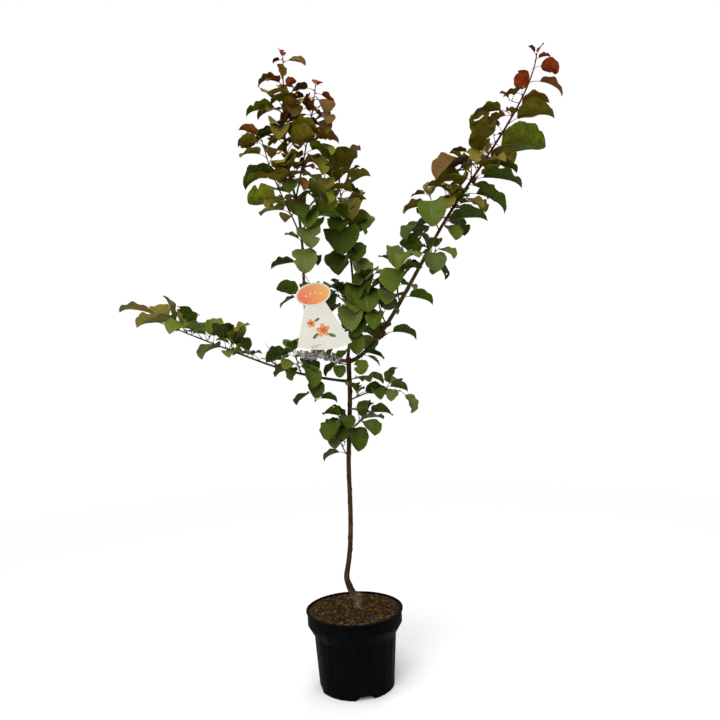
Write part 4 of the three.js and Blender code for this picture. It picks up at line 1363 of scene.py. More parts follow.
def leaf_material(tint):
    """A leaf: paler veins on the upper side, a dull paler underside and small blemishes."""
    upper, under = (srgb(code) for code in TINTS[tint])
    shaded = [part * MOTTLE_SHADE for part in upper[:3]] + [1]
    material, tree, shader = new_material("leaf_" + tint, specular=0.06)
    veins = veins_on(tree)
    mottle = noise_on(tree, scale=70, detail=5)
    front = mixed(tree, ramp_to(tree, mottle, low=0.35, high=0.65), shaded, upper)
    front = veined(tree, veins, front, "upper")
    backs = add_node(tree, "NewGeometry").outputs["Backfacing"]
    color = mixed(tree, backs, front, veined(tree, veins, under, "under"))
    blemish = ramp_to(tree, spots_on(tree, scale=38), low=0.05, high=0.09, out_low=0.75, out_high=0.0)
    color = mixed(tree, blemish, color, srgb("3a2812"))
    grain = noise_on(tree, scale=230, detail=2)
    grain = ramp_to(tree, grain, low=0.3, high=0.7, out_low=0.84, out_high=1.16)
    tone = add_node(tree, "Attribute", attribute_name="tone").outputs["Fac"]
    value = math_node(tree, "MULTIPLY", ramp_to(tree, tone, 0.0, 1.0, out_low=0.78, out_high=1.22), grain)
    hue = ramp_to(tree, tone, 0.0, 1.0, out_low=0.508, out_high=0.492)
    color = add_node(tree, "HueSaturation", {"Hue": hue, "Value": value, "Color": color}).outputs[0]
    fine = scaled(tree, noise_on(tree, scale=420, detail=3), 0.5)
    height = math_node(tree, "SUBTRACT", fine, veins)
    roughness = ramp_to(tree, mottle, low=0.3, high=0.7, out_low=0.45, out_high=0.65)
    feed(tree, shader, color, roughness, height, depth=0.0006, strength=0.6)
    return material


def bark_material(name, kind):
    """Bark: streaks along Z between two colours, short pale pores and perhaps a foot in others."""
    dark, light, speck, grain, spots, depth = BARKS[kind]
    material, tree, shader = new_material(name, specular=0.06)
    streaks = noise_on(tree, grain, detail=6, stretch=(1, 1, 0.18))
    streaky = ramp_to(tree, streaks, low=0.35, high=0.68)
    patches = noise_on(tree, scale=22, detail=3)
    color = mixed(tree, streaky, srgb(dark), srgb(light))
    color = mixed(tree, ramp_to(tree, patches, low=0.5, high=0.75, out_high=0.45), color, srgb(speck))
    pores = spots_on(tree, spots, stretch=(0.45, 0.45, 1.6))
    pores = ramp_to(tree, pores, low=0.1, high=0.2, out_low=1.0, out_high=0.0)
    color = mixed(tree, scaled(tree, pores, 0.6), color, srgb(speck))
    if kind in BARK_FOOT:
        foot = BARK_FOOT[kind]
        up = add_node(tree, "SeparateXYZ", {0: place_on(tree)}).outputs[2]
        edge = math_node(tree, "ADD", up, scaled(tree, streaks, 0.03))
        low = mixed(tree, streaky, srgb(foot["dark"]), srgb(foot["light"]))
        color = mixed(tree, ramp_to(tree, edge, *foot["ends"]), low, color)
    height = math_node(tree, "ADD", streaks, scaled(tree, pores, 0.5))
    roughness = ramp_to(tree, patches, low=0.3, high=0.7, out_low=0.6, out_high=0.85)
    feed(tree, shader, color, roughness, height, depth, strength=0.7)
    return material


def plain_material(name):
    """A finish that wanders between two colours at one scale."""
    dark, light, scale, roughness, depth = FINISHES[name]
    material, tree, shader = new_material(name, specular=0.12)
    grain = noise_on(tree, scale, detail=5)
    color = mixed(tree, ramp_to(tree, grain, low=0.35, high=0.65), srgb(dark), srgb(light))
    feed(tree, shader, color, ramp_to(tree, grain, 0.3, 0.7, *roughness), grain, depth, strength=0.5)
    return material


def pot_material():
    """Black moulded plastic with a fine grain, faint dust and pale specks."""
    material, tree, shader = new_material("pot_black_plastic", specular=0.02)
    grain = noise_on(tree, scale=900, detail=2)
    dust = noise_on(tree, scale=30, detail=6)
    specks = ramp_to(tree, spots_on(tree, scale=260), low=0.1, high=0.26, out_low=1.0, out_high=0.0)
    dusty = ramp_to(tree, dust, low=0.45, high=0.8, out_high=0.6)
    color = mixed(tree, dusty, srgb("020303"), srgb("0b0c0b"))
    color = mixed(tree, scaled(tree, specks, 0.45), color, srgb("283230"))
    height = math_node(tree, "ADD", grain, scaled(tree, dust, 0.3))
    roughness = ramp_to(tree, dust, low=0.3, high=0.7, out_low=0.5, out_high=0.7)
    feed(tree, shader, color, roughness, height, depth=0.0004, strength=0.5)
    return material


def soil_material():
    """Moist peat in dark and olive-brown patches, darker between its crumbs."""
    material, tree, shader = new_material("peat_soil", specular=0.1)
    patches = noise_on(tree, scale=40, detail=5)
    crumbs = noise_on(tree, scale=260, detail=6)
    color = mixed(tree, ramp_to(tree, patches, low=0.4, high=0.62), srgb("1f1408"), srgb("453310"))
    color = mixed(tree, ramp_to(tree, crumbs, low=0.3, high=0.7), srgb("0f0903"), color)
    roughness = ramp_to(tree, crumbs, low=0.3, high=0.7, out_low=0.8, out_high=1.0)
    feed(tree, shader, color, roughness, crumbs, depth=0.003, strength=0.9)
    return material


def header_material():
    """The header's print: orange at its left foot, yellow at its right top."""
    material, tree, shader = new_material("header_print", roughness=0.35)
    across = add_node(tree, "SeparateXYZ", {0: place_on(tree)})
    x, z = across.outputs[0], across.outputs[2]
    upwards = HEADER_SLOPE["upwards"]
    slope = math_node(tree, "ADD", x, scaled(tree, z, upwards))
    middle = (TAG["centre"][0] + upwards * (TAG["centre"][2] + TAG["header_radius"][1])) * MM
    share = ramp_to(tree, slope, middle + HEADER_SLOPE["start"], middle + HEADER_SLOPE["end"])
    color = mixed(tree, share, srgb("c8501e"), srgb("d8982a"))
    grain = noise_on(tree, scale=300, detail=3)
    color = mixed(tree, ramp_to(tree, grain, low=0.4, high=0.8, out_high=0.15), color, srgb("dcc8a0"))
    feed(tree, shader, color, None, grain, depth=0.0001, strength=0.3)
    return material


def finish_piece(name, bm, material, replaces=(), smooth=True):
    """A mesh piece from a bmesh in millimetres, riding on the plant."""
    bmesh.ops.scale(bm, vec=(MM, MM, MM), verts=bm.verts)
    mesh = bpy.data.meshes.new(name)
    bm.to_mesh(mesh)
    bm.free()
    mesh.materials.append(material)
    mesh.polygons.foreach_set("use_smooth", [smooth] * len(mesh.polygons))
    piece = bpy.data.objects.new(name, mesh)
    bpy.context.scene.collection.objects.link(piece)
    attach(piece, "root")
    if replaces:
        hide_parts(*replaces)


def add_to(whole, bm):
    """Moves all that a bmesh holds into a larger one."""
    mesh = bpy.data.meshes.new("part")
    bm.to_mesh(mesh)
    bm.free()
    whole.from_mesh(mesh)
    bpy.data.meshes.remove(mesh)


def add_limb(whole, rings, facets, relief=None):
    """A closed tube carried along rings, with relief as a height added at an angle and a ring."""
    steps = len(rings) - 1
    bm = bmesh.new()
    bmesh.ops.create_cone(bm, cap_ends=True, segments=facets, radius1=1, radius2=1, depth=1)
    if steps > 1:
        upright = [e for e in bm.edges if abs(e.verts[0].co.z - e.verts[1].co.z) > 0.5]
        bmesh.ops.subdivide_edges(bm, edges=upright, cuts=steps - 1)
    for vert in bm.verts:
        ring = rings[round((vert.co.z + 0.5) * steps)]
        radius = ring["radius"]
        if relief:
            radius += relief(math.atan2(vert.co.y, vert.co.x), ring)
        across = vert.co.x * ring["side"] - vert.co.y * ring["front"]
        vert.co = ring["point"] + across * radius
    add_to(whole, bm)


def add_bark(whole, rings, kind, seed=0):
    """A limb with the faces and the bark relief of its kind."""
    look = LIMBS[kind]
    relief = bark_relief(look["ridges"], look["pitch"], look["seed"] + seed)
    add_limb(whole, rings, look["facets"], relief)


def smooth_rings(rows, step):
    """Rings on a smooth line through rows of points with radii, about a step apart."""
    rows = [np.array(row, float) for row in rows]
    rings = []
    for i in range(len(rows) - 1):
        p0, p1 = rows[max(i - 1, 0)], rows[i]
        p2, p3 = rows[i + 1], rows[min(i + 2, len(rows) - 1)]
        count = max(1, round(np.linalg.norm(p2[:3] - p1[:3]) / step))
        for j in range(count):
            t = j / count
            bend = (2 * p0 - 5 * p1 + 4 * p2 - p3) * t**2
            twist = (3 * p1 - p0 - 3 * p2 + p3) * t**3
            rings.append((2 * p1 + (p2 - p0) * t + bend + twist) / 2)
    rings.append(rows[-1])
    points = [r[:3] for r in rings]
    made = []
    for i, row in enumerate(rings):
        run = unit(points[min(i + 1, len(points) - 1)] - points[max(i - 1, 0)])
        made.append(ring_at(row[:3], run, row[3], SIDEWAYS))
    return made


def bark_relief(depth, pitch, seed):
    """Low ridges that run up the bark, and a scar or bud swelling at each node."""

    def relief(angle, ring):
        radius = ring["radius"]
        across = ring["side"] * math.cos(angle) * radius
        x, y, z = ring["point"] + across - ring["front"] * math.sin(angle) * radius
        fine, long = RIDGES["across"], RIDGES["along"]
        place = Vector((x * fine + seed, y * fine, z * long))
        ridges = noise.fractal(place, 1.0, FINER, RIDGES["octaves"])
        length = ring["run"]
        node = round(length / pitch)
        facing = math.radians(node * GOLDEN_ANGLE) + seed
        off = (length - node * pitch) / RIDGES["swelling_reach"]
        turned = math.cos(angle - facing)
        swelling = math.exp(-off * off) * max(0.0, turned) ** RIDGES["narrow"]
        return depth * ridges + RIDGES["swelling"] * radius * swelling * (1 if node else 0)

    return relief


def with_run(rings):
    """The rings, each with its distance along the limb."""
    total = 0.0
    for i, ring in enumerate(rings):
        if i:
            total += float(np.linalg.norm(ring["point"] - rings[i - 1]["point"]))
        ring["run"] = total
    return rings


def make_trunk():
    """The trunk's bark, with the rootstock's below the graft."""
    bm = bmesh.new()
    add_bark(bm, with_run(smooth_rings(TRUNK, LIMBS["trunk"]["step"])), "trunk")
    finish_piece("trunk_bark", bm, bark_material("trunk_bark", "trunk"), ["trunk"])


def make_stub():
    """The stub of the cut rootstock beside the trunk."""
    foot, top = (np.array(STUB[end], float) for end in ("from", "to"))
    last = STUB["steps"]
    rows = []
    for i in range(last + 1):
        t = i / last
        radius = mix(STUB["radius"], t) * (1 + STUB["wave"] * math.sin(STUB["bends"] * t))
        radius *= STUB["edge"] if i == last else 1
        rows.append([*(foot + (top - foot) * t), radius])
    bm = bmesh.new()
    add_bark(bm, with_run(smooth_rings(rows, LIMBS["stub"]["step"])), "stub")
    finish_piece("rootstock_stub", bm, bark_material("stub_bark", "stub"))


def sink_foot(rings):
    """Lets a limb that follows another start inside it."""
    rings[0]["point"] = rings[0]["point"] - rings[0]["tangent"] * SUNK


def make_boughs(boughs):
    """The boughs, which flare where they leave the trunk. The right one thickens towards its tip."""
    for number, (name, plan) in enumerate(BOUGHS.items()):
        rings = with_run(curve_rings(guides_of(plan, boughs), plan["radius"], BOUGH_RINGS))
        swell = BOUGH_SWELL.get(name, 0)
        for ring in rings:
            share = ring["run"] / rings[-1]["run"]
            ring["radius"] *= 1 + swell * (share + BOUGH_BULGE * math.sin(math.pi * share))
        if "follows" in plan:
            sink_foot(rings)
        else:
            for ring in rings:
                fade = math.exp(-ring["run"] / BOUGH_FLARE["reach"])
                ring["radius"] *= 1 + BOUGH_FLARE["share"] * fade
        bm = bmesh.new()
        add_bark(bm, rings, "bough", number)
        material = bark_material(name + "_bark", name if name in BARKS else "bough")
        finish_piece(name + "_bark", bm, material, [name])


def is_red(shoot):
    return MASSES[shoot["mass"]]["tints"][-1] in RED_STEM_TINTS


def fine_rings(shoot):
    """A shoot's rings made anew and closer together, and thicker if it is a stem."""
    rings = shoot["rings"]
    radii = [rings[0]["radius"], rings[-1]["radius"]]
    fine = with_run(curve_rings(shoot["guides"], radii, STEM_FINER * (len(rings) - 1)))
    if shoot["stem"]:
        swell = STEM_SWELL.get(shoot["mass"], STEM_SWELL["other"])
        for ring in fine:
            ring["radius"] *= mix(swell, ring["run"] / fine[-1]["run"])
        if "follows" in shoot["plan"]:
            sink_foot(fine)
    return fine


def dead_rings(twig):
    points = twig["through"]
    last = len(points) - 1
    rows = [[*point, mix(twig["radius"], i / last)] for i, point in enumerate(points)]
    return with_run(smooth_rings(rows, LIMBS["dead_twig"]["step"]))


def make_stems(shoots, spurs):
    """The stems, twigs and spurs in two barks: green-brown, and red-brown where the leaves are red."""
    looks = {
        "stems_brown": bark_material("stem_bark", "stem"),
        "stems_red": bark_material("red_stem_bark", "red_stem"),
    }
    meshes = {name: bmesh.new() for name in looks}
    for shoot in [*shoots, *spurs]:
        name = "stems_red" if is_red(shoot) else "stems_brown"
        add_bark(meshes[name], fine_rings(shoot), "stem", shoot["plan"]["seed"])
    for twig in DEAD_TWIGS:
        add_bark(meshes["stems_brown"], dead_rings(twig), "dead_twig", twig["through"][0][0])
    for name, bm in meshes.items():
        finish_piece(name, bm, looks[name], MASSES)


def make_crust(boughs):
    """Pale flakes of crust that stand out round one stretch of bough and a snag beside it."""
    draw = random.Random(CRUST["seed"])
    bough = boughs[CRUST["bough"]]["rings"]
    snag = with_run(smooth_rings(CRUST["snag"], LIMBS["snag"]["step"]))
    bm = bmesh.new()
    add_bark(bm, snag, "snag")
    for number in range(CRUST["flakes"]):
        limb = snag if number % CRUST["snag_every"] == 0 else bough
        ring = along(limb, draw.uniform(*CRUST["ends"]))
        angle = draw.uniform(0, math.tau)
        out = ring["side"] * math.cos(angle) + ring["front"] * math.sin(angle)
        centre = ring["point"] + out * (ring["radius"] + draw.uniform(*CRUST["stand"]))
        size = draw.uniform(*CRUST["size"])
        spin = draw.uniform(0, math.tau)
        turn = Matrix.Rotation(spin, 4, Vector(unit(out + UP * draw.uniform(-1, 1))))
        sizes = (size, size * draw.uniform(*CRUST["breadth"]), size * CRUST["thickness"], 1)
        place = Matrix.Translation(Vector(centre)) @ turn @ Matrix.Diagonal(sizes)
        flake = bmesh.ops.create_icosphere(bm, subdivisions=2, radius=1, matrix=place)["verts"]
        for vert in flake:
            vert.co += Vector(out) * noise.noise(vert.co * CRUST["rough_scale"]) * CRUST["rough"]
    finish_piece("bark_crust", bm, bark_material("crust", "crust"))


def make_buds(leaves):
    """A small pointed bud in the angle above each leaf's stalk."""
    bm = bmesh.new()
    for leaf in leaves:
        blade = leaf["blade"]
        out = unit(blade.foot - blade.node)
        rise = unit(out + UP * BUD["lean"])
        centre = blade.node + rise * BUD["out"] + UP * BUD["up"]
        size = BUD["radius"] + BUD["radius_share"] * blade.length
        turn = Vector(rise).to_track_quat("Z", "Y").to_matrix().to_4x4()
        sizes = Matrix.Diagonal((size, size, BUD["long"] * size, 1))
        place = Matrix.Translation(Vector(centre)) @ turn @ sizes
        bmesh.ops.create_icosphere(bm, subdivisions=1, radius=1, matrix=place)
    finish_piece("buds", bm, plain_material("bud_scales"))


def add_stalk(bm, leaf):
    """The thin stalk from the stem to the blade, which runs on under the midrib."""
    blade = leaf["blade"]
    radius = STALK["radius"] + STALK["radius_share"] * blade.length
    meets, aims = STALK["meets"], STALK["aims"]
    meet = blade.midrib(meets) - blade.normal(meets) * radius * STALK["below"]
    beyond = blade.midrib(aims) - blade.normal(aims) * STALK["aims_below"]
    ahead = unit(beyond - meet)
    run = blade.foot - blade.node
    low = blade.node + run * STALK["bend"] + UP * STALK["bend_lift"] * blade.length
    high = meet - ahead * STALK["bend_back"] * blade.length
    ends = [radius * share for share in STALK["taper"]]
    rings = curve_rings([blade.node, low, high, meet], ends, STALK["steps"])
    for t in STALK["under"]:
        point = blade.midrib(t) - blade.normal(t) * STALK["under_gap"]
        rings.append(ring_at(point, ahead, radius * (STALK["under_taper"] - t), SIDEWAYS))
    add_limb(bm, rings, STALK["facets"])


def make_stalks(leaves):
    """The leaves' stalks in two colours."""
    looks = {
        "stalks_green": plain_material("green_stalk"),
        "stalks_red": plain_material("red_stalk"),
    }
    meshes = {name: bmesh.new() for name in looks}
    for leaf in leaves:
        red = is_red(leaf["shoot"]) or leaf["tint"] in RED_STALK_TINTS
        add_stalk(meshes["stalks_red" if red else "stalks_green"], leaf)
    for name, bm in meshes.items():
        finish_piece(name, bm, looks[name])


def draws_for(leaf, use):
    """Random draws that belong to one leaf and one use."""
    return random.Random(repr(round(float(leaf["blade"].length) + LEAF_DRAWS[use], 3)))


def blade_surface(leaf, t, v):
    """Where points along and across a leaf's blade lie: the rule's blade with its own waves."""
    blade = leaf["blade"]
    draw = draws_for(leaf, "surface")
    placed = leaf["placed"]
    wave = BLADE["placed_wave" if placed else "wave"] * blade.length
    turns = draw.uniform(*BLADE["waves"])
    phases = [draw.uniform(0, 1), draw.uniform(0, 1)]
    most = BLADE["placed_twist" if placed else "twist"]
    twist = math.radians(draw.uniform(-most, most)) * (t - BLADE["twist_about"])
    outwards = np.where(np.round(t * BLADE["along"]) % 2 == 0, 1, -1)
    teeth = 1 + BLADE["tooth"] * outwards * (np.abs(v) > BLADE["tooth_from"])
    reach = LEAF["half_width"] * blade.length * round_outline(np.clip(t, 0, 1)) * v * teeth
    reach = reach * edge_of(leaf, t, v)
    fold = blade.fold * (1 + BLADE["round"] * (0.5 - np.abs(v)))
    phase = np.where(v > 0, phases[0], phases[1])
    ripple = wave * v * v * np.sin(2 * math.pi * (turns * t + phase)) * np.sin(math.pi * np.clip(t, 0, 1))
    near_tip = np.clip((t - BLADE["droop_from"]) / (1 - BLADE["droop_from"]), 0, 1)
    fall = BLADE["droop"] * blade.length * near_tip**2
    normal = blade.normal(t)
    side = blade.side * np.cos(twist)[:, None] + normal * np.sin(twist)[:, None]
    above = normal * np.cos(twist)[:, None] - blade.side * np.sin(twist)[:, None]
    lift = np.abs(reach) * np.sin(fold) + ripple - fall
    return blade.midrib(t) + side * (reach * np.cos(fold))[:, None] + above * lift[:, None]


def round_outline(t):
    """The finer blade's outline, rounder than the rule's, as a share of the greatest half width."""
    widest = BLADE["foot"] / (BLADE["foot"] + BLADE["tip"])
    peak = widest ** BLADE["foot"] * (1 - widest) ** BLADE["tip"]
    return t ** BLADE["foot"] * (1 - t) ** BLADE["tip"] / peak


def edge_of(leaf, t, v):
    """How far a leaf's edge strays from its plain outline: a slow sway on each side and some bites."""
    draw = draws_for(leaf, "edge")
    share = np.ones_like(t)
    for half in (v > 0, v <= 0):
        sway = 0
        for size, turns in (BLADE["slow_sway"], BLADE["quick_sway"]):
            sway = sway + size * np.sin(math.tau * (turns * t + draw.uniform(0, 1)))
        share = np.where(half, share * (1 + BLADE["ragged"] * sway), share)
        place, width = draw.uniform(*BLADE["bite_place"]), draw.uniform(*BLADE["bite_width"])
        depth = draw.uniform(*BLADE["bite_depth"])
        if draw.random() < BLADE["bitten"]:
            share = np.where(half, share * (1 - depth * np.exp(-(((t - place) / width) ** 2))), share)
    return share


def punch_holes(bm, made, draw):
    """Takes one or two inner faces out of a blade and returns the corners that are left."""
    faces = {face for vert in made for face in vert.link_faces}
    inner = [face for face in faces if not any(edge.is_boundary for edge in face.edges)]
    middles = {face: face.calc_center_median() for face in inner}
    inner.sort(key=lambda face: (round(middles[face].x, 4), round(middles[face].z, 4)))
    bmesh.ops.delete(bm, geom=draw.sample(inner, draw.randint(*BLADE["holes"])), context="FACES")
    return [vert for vert in made if vert.is_valid]


def add_blade(bm, leaf, tone):
    grid = {"x_segments": BLADE["along"], "y_segments": BLADE["across"], "size": 0.5}
    made = bmesh.ops.create_grid(bm, **grid, calc_uvs=True)["verts"]
    t = np.array([vert.co.x + 0.5 for vert in made])
    v = np.array([2 * vert.co.y for vert in made])
    for vert, place in zip(made, blade_surface(leaf, t, v)):
        vert.co = place
        vert[tone] = leaf["tone"]
    draw = draws_for(leaf, "holes")
    if draw.random() < BLADE["holed"]:
        made = punch_holes(bm, made, draw)
    bmesh.ops.remove_doubles(bm, verts=made, dist=SAME_POINT)


def make_leaves(leaves):
    """The leaves, one piece for each tint, and each leaf a little lighter or darker than the next."""
    draw = random.Random(TONE_SEED)
    for leaf in leaves:
        leaf["tone"] = draw.random()
    for tint in TINTS:
        bm = bmesh.new()
        bm.loops.layers.uv.new("blade")
        tone = bm.verts.layers.float.new("tone")
        for leaf in leaves:
            if leaf["tint"] == tint:
                add_blade(bm, leaf, tone)
        finish_piece("leaves_" + tint, bm, leaf_material(tint), MASSES)


def pot_profile():
    """Radius and height of the pot's outline, from under its base up the outside and down inside."""
    p = POT
    inner = {key: p[key] - p["wall"] for key in ("collar_radius", "shoulder_radius", "foot_radius")}
    return [
        [0, 0],
        [p["channel_inner"], 0],
        [p["channel_inner"] + p["channel_slope"], p["channel_height"]],
        [p["channel_outer"] - p["channel_slope"], p["channel_height"]],
        [p["channel_outer"], 0],
        [p["foot_radius"], 0],
        [p["shoulder_radius"], p["shoulder_height"]],
        [p["collar_radius"], p["collar_foot"]],
        [p["collar_radius"], p["rim_height"] - p["lip"]],
        [p["rim_radius"], p["rim_height"] - p["lip"] + p["rim_slope"]],
        [p["rim_radius"], p["rim_height"]],
        [inner["collar_radius"], p["rim_height"]],
        [inner["collar_radius"], p["collar_foot"]],
        [inner["shoulder_radius"], p["shoulder_height"]],
        [inner["foot_radius"], p["channel_height"] + p["floor"]],
        [p["channel_inner"], p["channel_height"] + p["floor"]],
        [p["channel_inner"] - p["channel_slope"], p["floor"]],
        [0, p["floor"]],
    ]


def spin_round(bm, geom, steps):
    """Turns a line of corners and edges once round Z."""
    turn = {"axis": (0, 0, 1), "cent": (0, 0, 0), "angle": math.tau}
    bmesh.ops.spin(bm, geom=geom, steps=steps, use_merge=True, **turn)


def make_pot():
    bm = bmesh.new()
    verts = [bm.verts.new((r, 0, z)) for r, z in pot_profile()]
    edges = [bm.edges.new(pair) for pair in zip(verts, verts[1:])]
    spin_round(bm, verts + edges, POT["facets"])
    bmesh.ops.remove_doubles(bm, verts=bm.verts, dist=SAME_POINT)
    bmesh.ops.recalc_face_normals(bm, faces=bm.faces)
    for i in range(NOTCH["count"]):
        cut_notch(bm, math.radians(NOTCH["turn"]) + i * math.tau / NOTCH["count"])
    least = math.radians(POT["sharp"])
    sharp = [e for e in bm.edges if len(e.link_faces) == 2 and e.calc_face_angle() > least]
    rounding = {"offset": POT["rounding"], "segments": 2, "profile": 0.5, "affect": "EDGES"}
    bmesh.ops.bevel(bm, geom=sharp, material=-1, clamp_overlap=True, **rounding)
    finish_piece("pot_shell", bm, pot_material(), ["pot"])


def near_notch(face, across):
    """Whether a face lies in the part of the pot that one notch is cut from."""
    middle = face.calc_center_median()
    return (across @ middle).y < -NOTCH_FACES["out"] and middle.z < NOTCH_FACES["below"]


def cut_notch(bm, turn):
    """Lifts the foot ring's edge into a notch with sloping ends, at a turn round the pot."""
    across = Matrix.Rotation(-turn, 4, "Z")
    half_foot, half_top = NOTCH["foot"] / 2, NOTCH["top"] / 2
    slope = (half_foot - half_top) / NOTCH["height"]
    for x in (-half_foot, -half_top, half_top, half_foot):
        point = Matrix.Rotation(turn, 4, "Z") @ Vector((x, 0, 0))
        plane = Matrix.Rotation(turn, 4, "Z") @ Vector((1, 0, 0))
        near = [face for face in bm.faces if near_notch(face, across)]
        geom = list({g for f in near for g in [f, *f.edges, *f.verts]})
        bmesh.ops.bisect_plane(bm, geom=geom, dist=1e-4, plane_co=point, plane_no=plane)
    for vert in bm.verts:
        local = across @ vert.co
        if local.y < -POT["channel_outer"] + NOTCH["depth"] and vert.co.z < 1 and abs(local.x) < half_foot:
            vert.co.z = min(NOTCH["height"], (half_foot - abs(local.x)) / slope)


def make_soil():
    """The solid's own material, and a finer crust of soil over it."""
    material = soil_material()
    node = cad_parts["soil"]
    node.data.materials.clear()
    node.data.materials.append(material)
    reach = POT["collar_radius"] - POT["wall"] - SOIL["gap"]
    bm = bmesh.new()
    bmesh.ops.create_grid(bm, x_segments=SOIL["grid"], y_segments=SOIL["grid"], size=1)
    for vert in bm.verts:
        x, y = vert.co.x, vert.co.y
        px = x * math.sqrt(1 - y * y / 2) * reach
        py = y * math.sqrt(1 - x * x / 2) * reach
        vert.co = (px, py, soil_top(px, py))
    finish_piece("soil_crust", bm, material)


def bumps(x, y, kind):
    place = Vector((x, y, kind["layer"])) / kind["size"]
    return kind["height"] * noise.fractal(place, kind["fade"], FINER, kind["octaves"])


def soil_top(x, y):
    """Height of the finer soil, which rises towards the pot's wall."""
    heap = SOIL["heap"] * (math.hypot(x, y) / POT["collar_radius"]) ** 2
    return SOIL_HEIGHT + SOIL["rise"] + heap + bumps(x, y, SOIL_LUMPS) + bumps(x, y, SOIL_CRUMBS)


def make_chips():
    """Shreds of bark and wood that lie on the soil in three tones."""
    draw = random.Random(CHIPS["seed"])
    tilt, roll = CHIPS["tilt"], CHIPS["roll"]
    trunk_x, trunk_y, bare = CHIPS["bare"]
    reach = POT["collar_radius"] - POT["wall"] - CHIPS["margin"]
    for name, (finish, count) in CHIP_KINDS.items():
        bm = bmesh.new()
        for _ in range(count):
            radius = reach * math.sqrt(draw.random())
            angle = draw.uniform(0, math.tau)
            x, y = radius * math.cos(angle), radius * math.sin(angle)
            if math.hypot(x - trunk_x, y - trunk_y) < bare:
                continue
            sizes = [draw.uniform(*CHIPS[side]) for side in ("length", "width", "height")]
            turn = Matrix.Rotation(draw.uniform(0, math.tau), 4, "Z")
            turn = turn @ Matrix.Rotation(draw.uniform(-tilt, tilt), 4, "Y")
            turn = turn @ Matrix.Rotation(draw.uniform(-roll, roll), 4, "X")
            place = Matrix.Translation((x, y, soil_top(x, y) + draw.uniform(*CHIPS["lift"])))
            bmesh.ops.create_cube(bm, size=1, matrix=place @ turn @ Matrix.Diagonal((*sizes, 1)))
        finish_piece(name, bm, plain_material(finish), smooth=False)


def hang(bm):
    """Turns a shape drawn in the tag's own frame, x across and z up, into the tag's place."""
    place = Matrix.Translation(TAG["centre"]) @ Matrix.Rotation(-math.radians(TAG["tilt"]), 4, "Y")
    bmesh.ops.transform(bm, matrix=place, verts=bm.verts)


def add_plate(bm, outline_points, back, front):
    """A flat plate with a given outline in x and z, from one y to another."""
    face = bm.faces.new([bm.verts.new((x, back, z)) for x, z in outline_points])
    made = bmesh.ops.extrude_face_region(bm, geom=[face])["geom"]
    verts = [g for g in made if isinstance(g, bmesh.types.BMVert)]
    bmesh.ops.translate(bm, vec=(0, front - back, 0), verts=verts)


def oval(x, z, wide, tall, turn=0.0, count=48):
    """Points of an oval round a place in the tag's frame, turned in radians."""
    c, s = math.cos(turn), math.sin(turn)
    points = []
    for i in range(count):
        a = math.tau * i / count
        u, w = wide * math.cos(a), tall * math.sin(a)
        points.append((x + u * c - w * s, z + u * s + w * c))
    return points


def fan_outline():
    """The fan's sides, top and curved foot, which is lower on its right."""
    half = math.radians(TAG["fan_half_angle"])
    top, rise, steps = TAG["fan_top"], TAG["fan_sink"], TAG["fan_steps"]
    points = [(-top, rise)]
    for i in range(steps + 1):
        a = -half + 2 * half * i / steps
        reach = FAN_RADIUS * (1 + TAG["fan_skew"] * a / half)
        points.append((reach * math.sin(a), FAN_APEX + rise - reach * math.cos(a)))
    return [*points, (top, rise)]


def petal(x, z, size, angle):
    """A petal as an oval that stands out from a flower's middle."""
    out = size * PRINT["petal_out"]
    long, wide = size * PRINT["petal_long"], size * PRINT["petal_wide"]
    return oval(x + out * math.cos(angle), z + out * math.sin(angle), long, wide, angle, PRINT["points"])


def petals_of(flower):
    """The petals round one flower, the first of them straight up."""
    count = PRINT["petals"]
    return [petal(*flower, math.radians(90 + 360 / count * k)) for k in range(count)]


def heart_of(flower):
    x, z, size = flower
    return oval(x, z, size * PRINT["heart"], size * PRINT["heart"], 0, PRINT["points"])


def bar(x, z, width):
    top = z + PRINT["bar_height"]
    return [(x, z), (x + width, z), (x + width, top), (x, top)]


def dot(x, z):
    return oval(x, z, PRINT["dot_radius"], PRINT["dot_radius"], 0, PRINT["dot_points"])


def tag_piece(name, shapes, back, front, material, replaces=()):
    """A piece of the tag from several plates, all facing out."""
    bm = bmesh.new()
    for shape in shapes:
        add_plate(bm, shape, back, front)
    bmesh.ops.recalc_face_normals(bm, faces=bm.faces)
    hang(bm)
    finish_piece(name, bm, material, replaces, smooth=False)


def make_tag(boughs):
    """The tag's fan and header, each with its print, and the strap."""
    half = TAG["thickness"] / 2
    wide, tall = TAG["header_radius"]
    card = plain_material("tag_card")
    tag_piece("tag_card", [fan_outline()], -half, half, card, ["hang_tag"])
    front = -half - LAYERS["header"]
    tag_piece("tag_header", [oval(0, tall, wide, tall)], front, half + LAYERS["header"], card)
    printed = oval(0, tall, wide - PRINT["margin"], tall - PRINT["margin"])
    tag_piece("tag_header_print", [printed], front - LAYERS["header_print"], front, header_material())
    petals = [shape for flower in PRINT["flowers"] for shape in petals_of(flower)]
    hearts = [heart_of(flower) for flower in PRINT["flowers"]]
    sprigs = [oval(*sprig, PRINT["points"]) for sprig in PRINT["sprigs"]]
    bars = [bar(*row) for row in PRINT["bars"]]
    prints = {
        "tag_petals": (petals, "petals", "petal_peach"),
        "tag_flower_hearts": (hearts, "hearts", "petal_orange"),
        "tag_leaves": (sprigs, "sprigs", "printed_leaf"),
        "tag_bars": (bars, "bars", "printed_grey"),
    }
    for name, (shapes, layer, finish) in prints.items():
        tag_piece(name, shapes, -half - LAYERS[layer], -half, plain_material(finish))
    dots = [dot(*place) for place in PRINT["dots"]]
    tag_piece("tag_header_dots", dots, front - LAYERS["dots"], front, card)
    make_strap(boughs["bough_upper_left"])


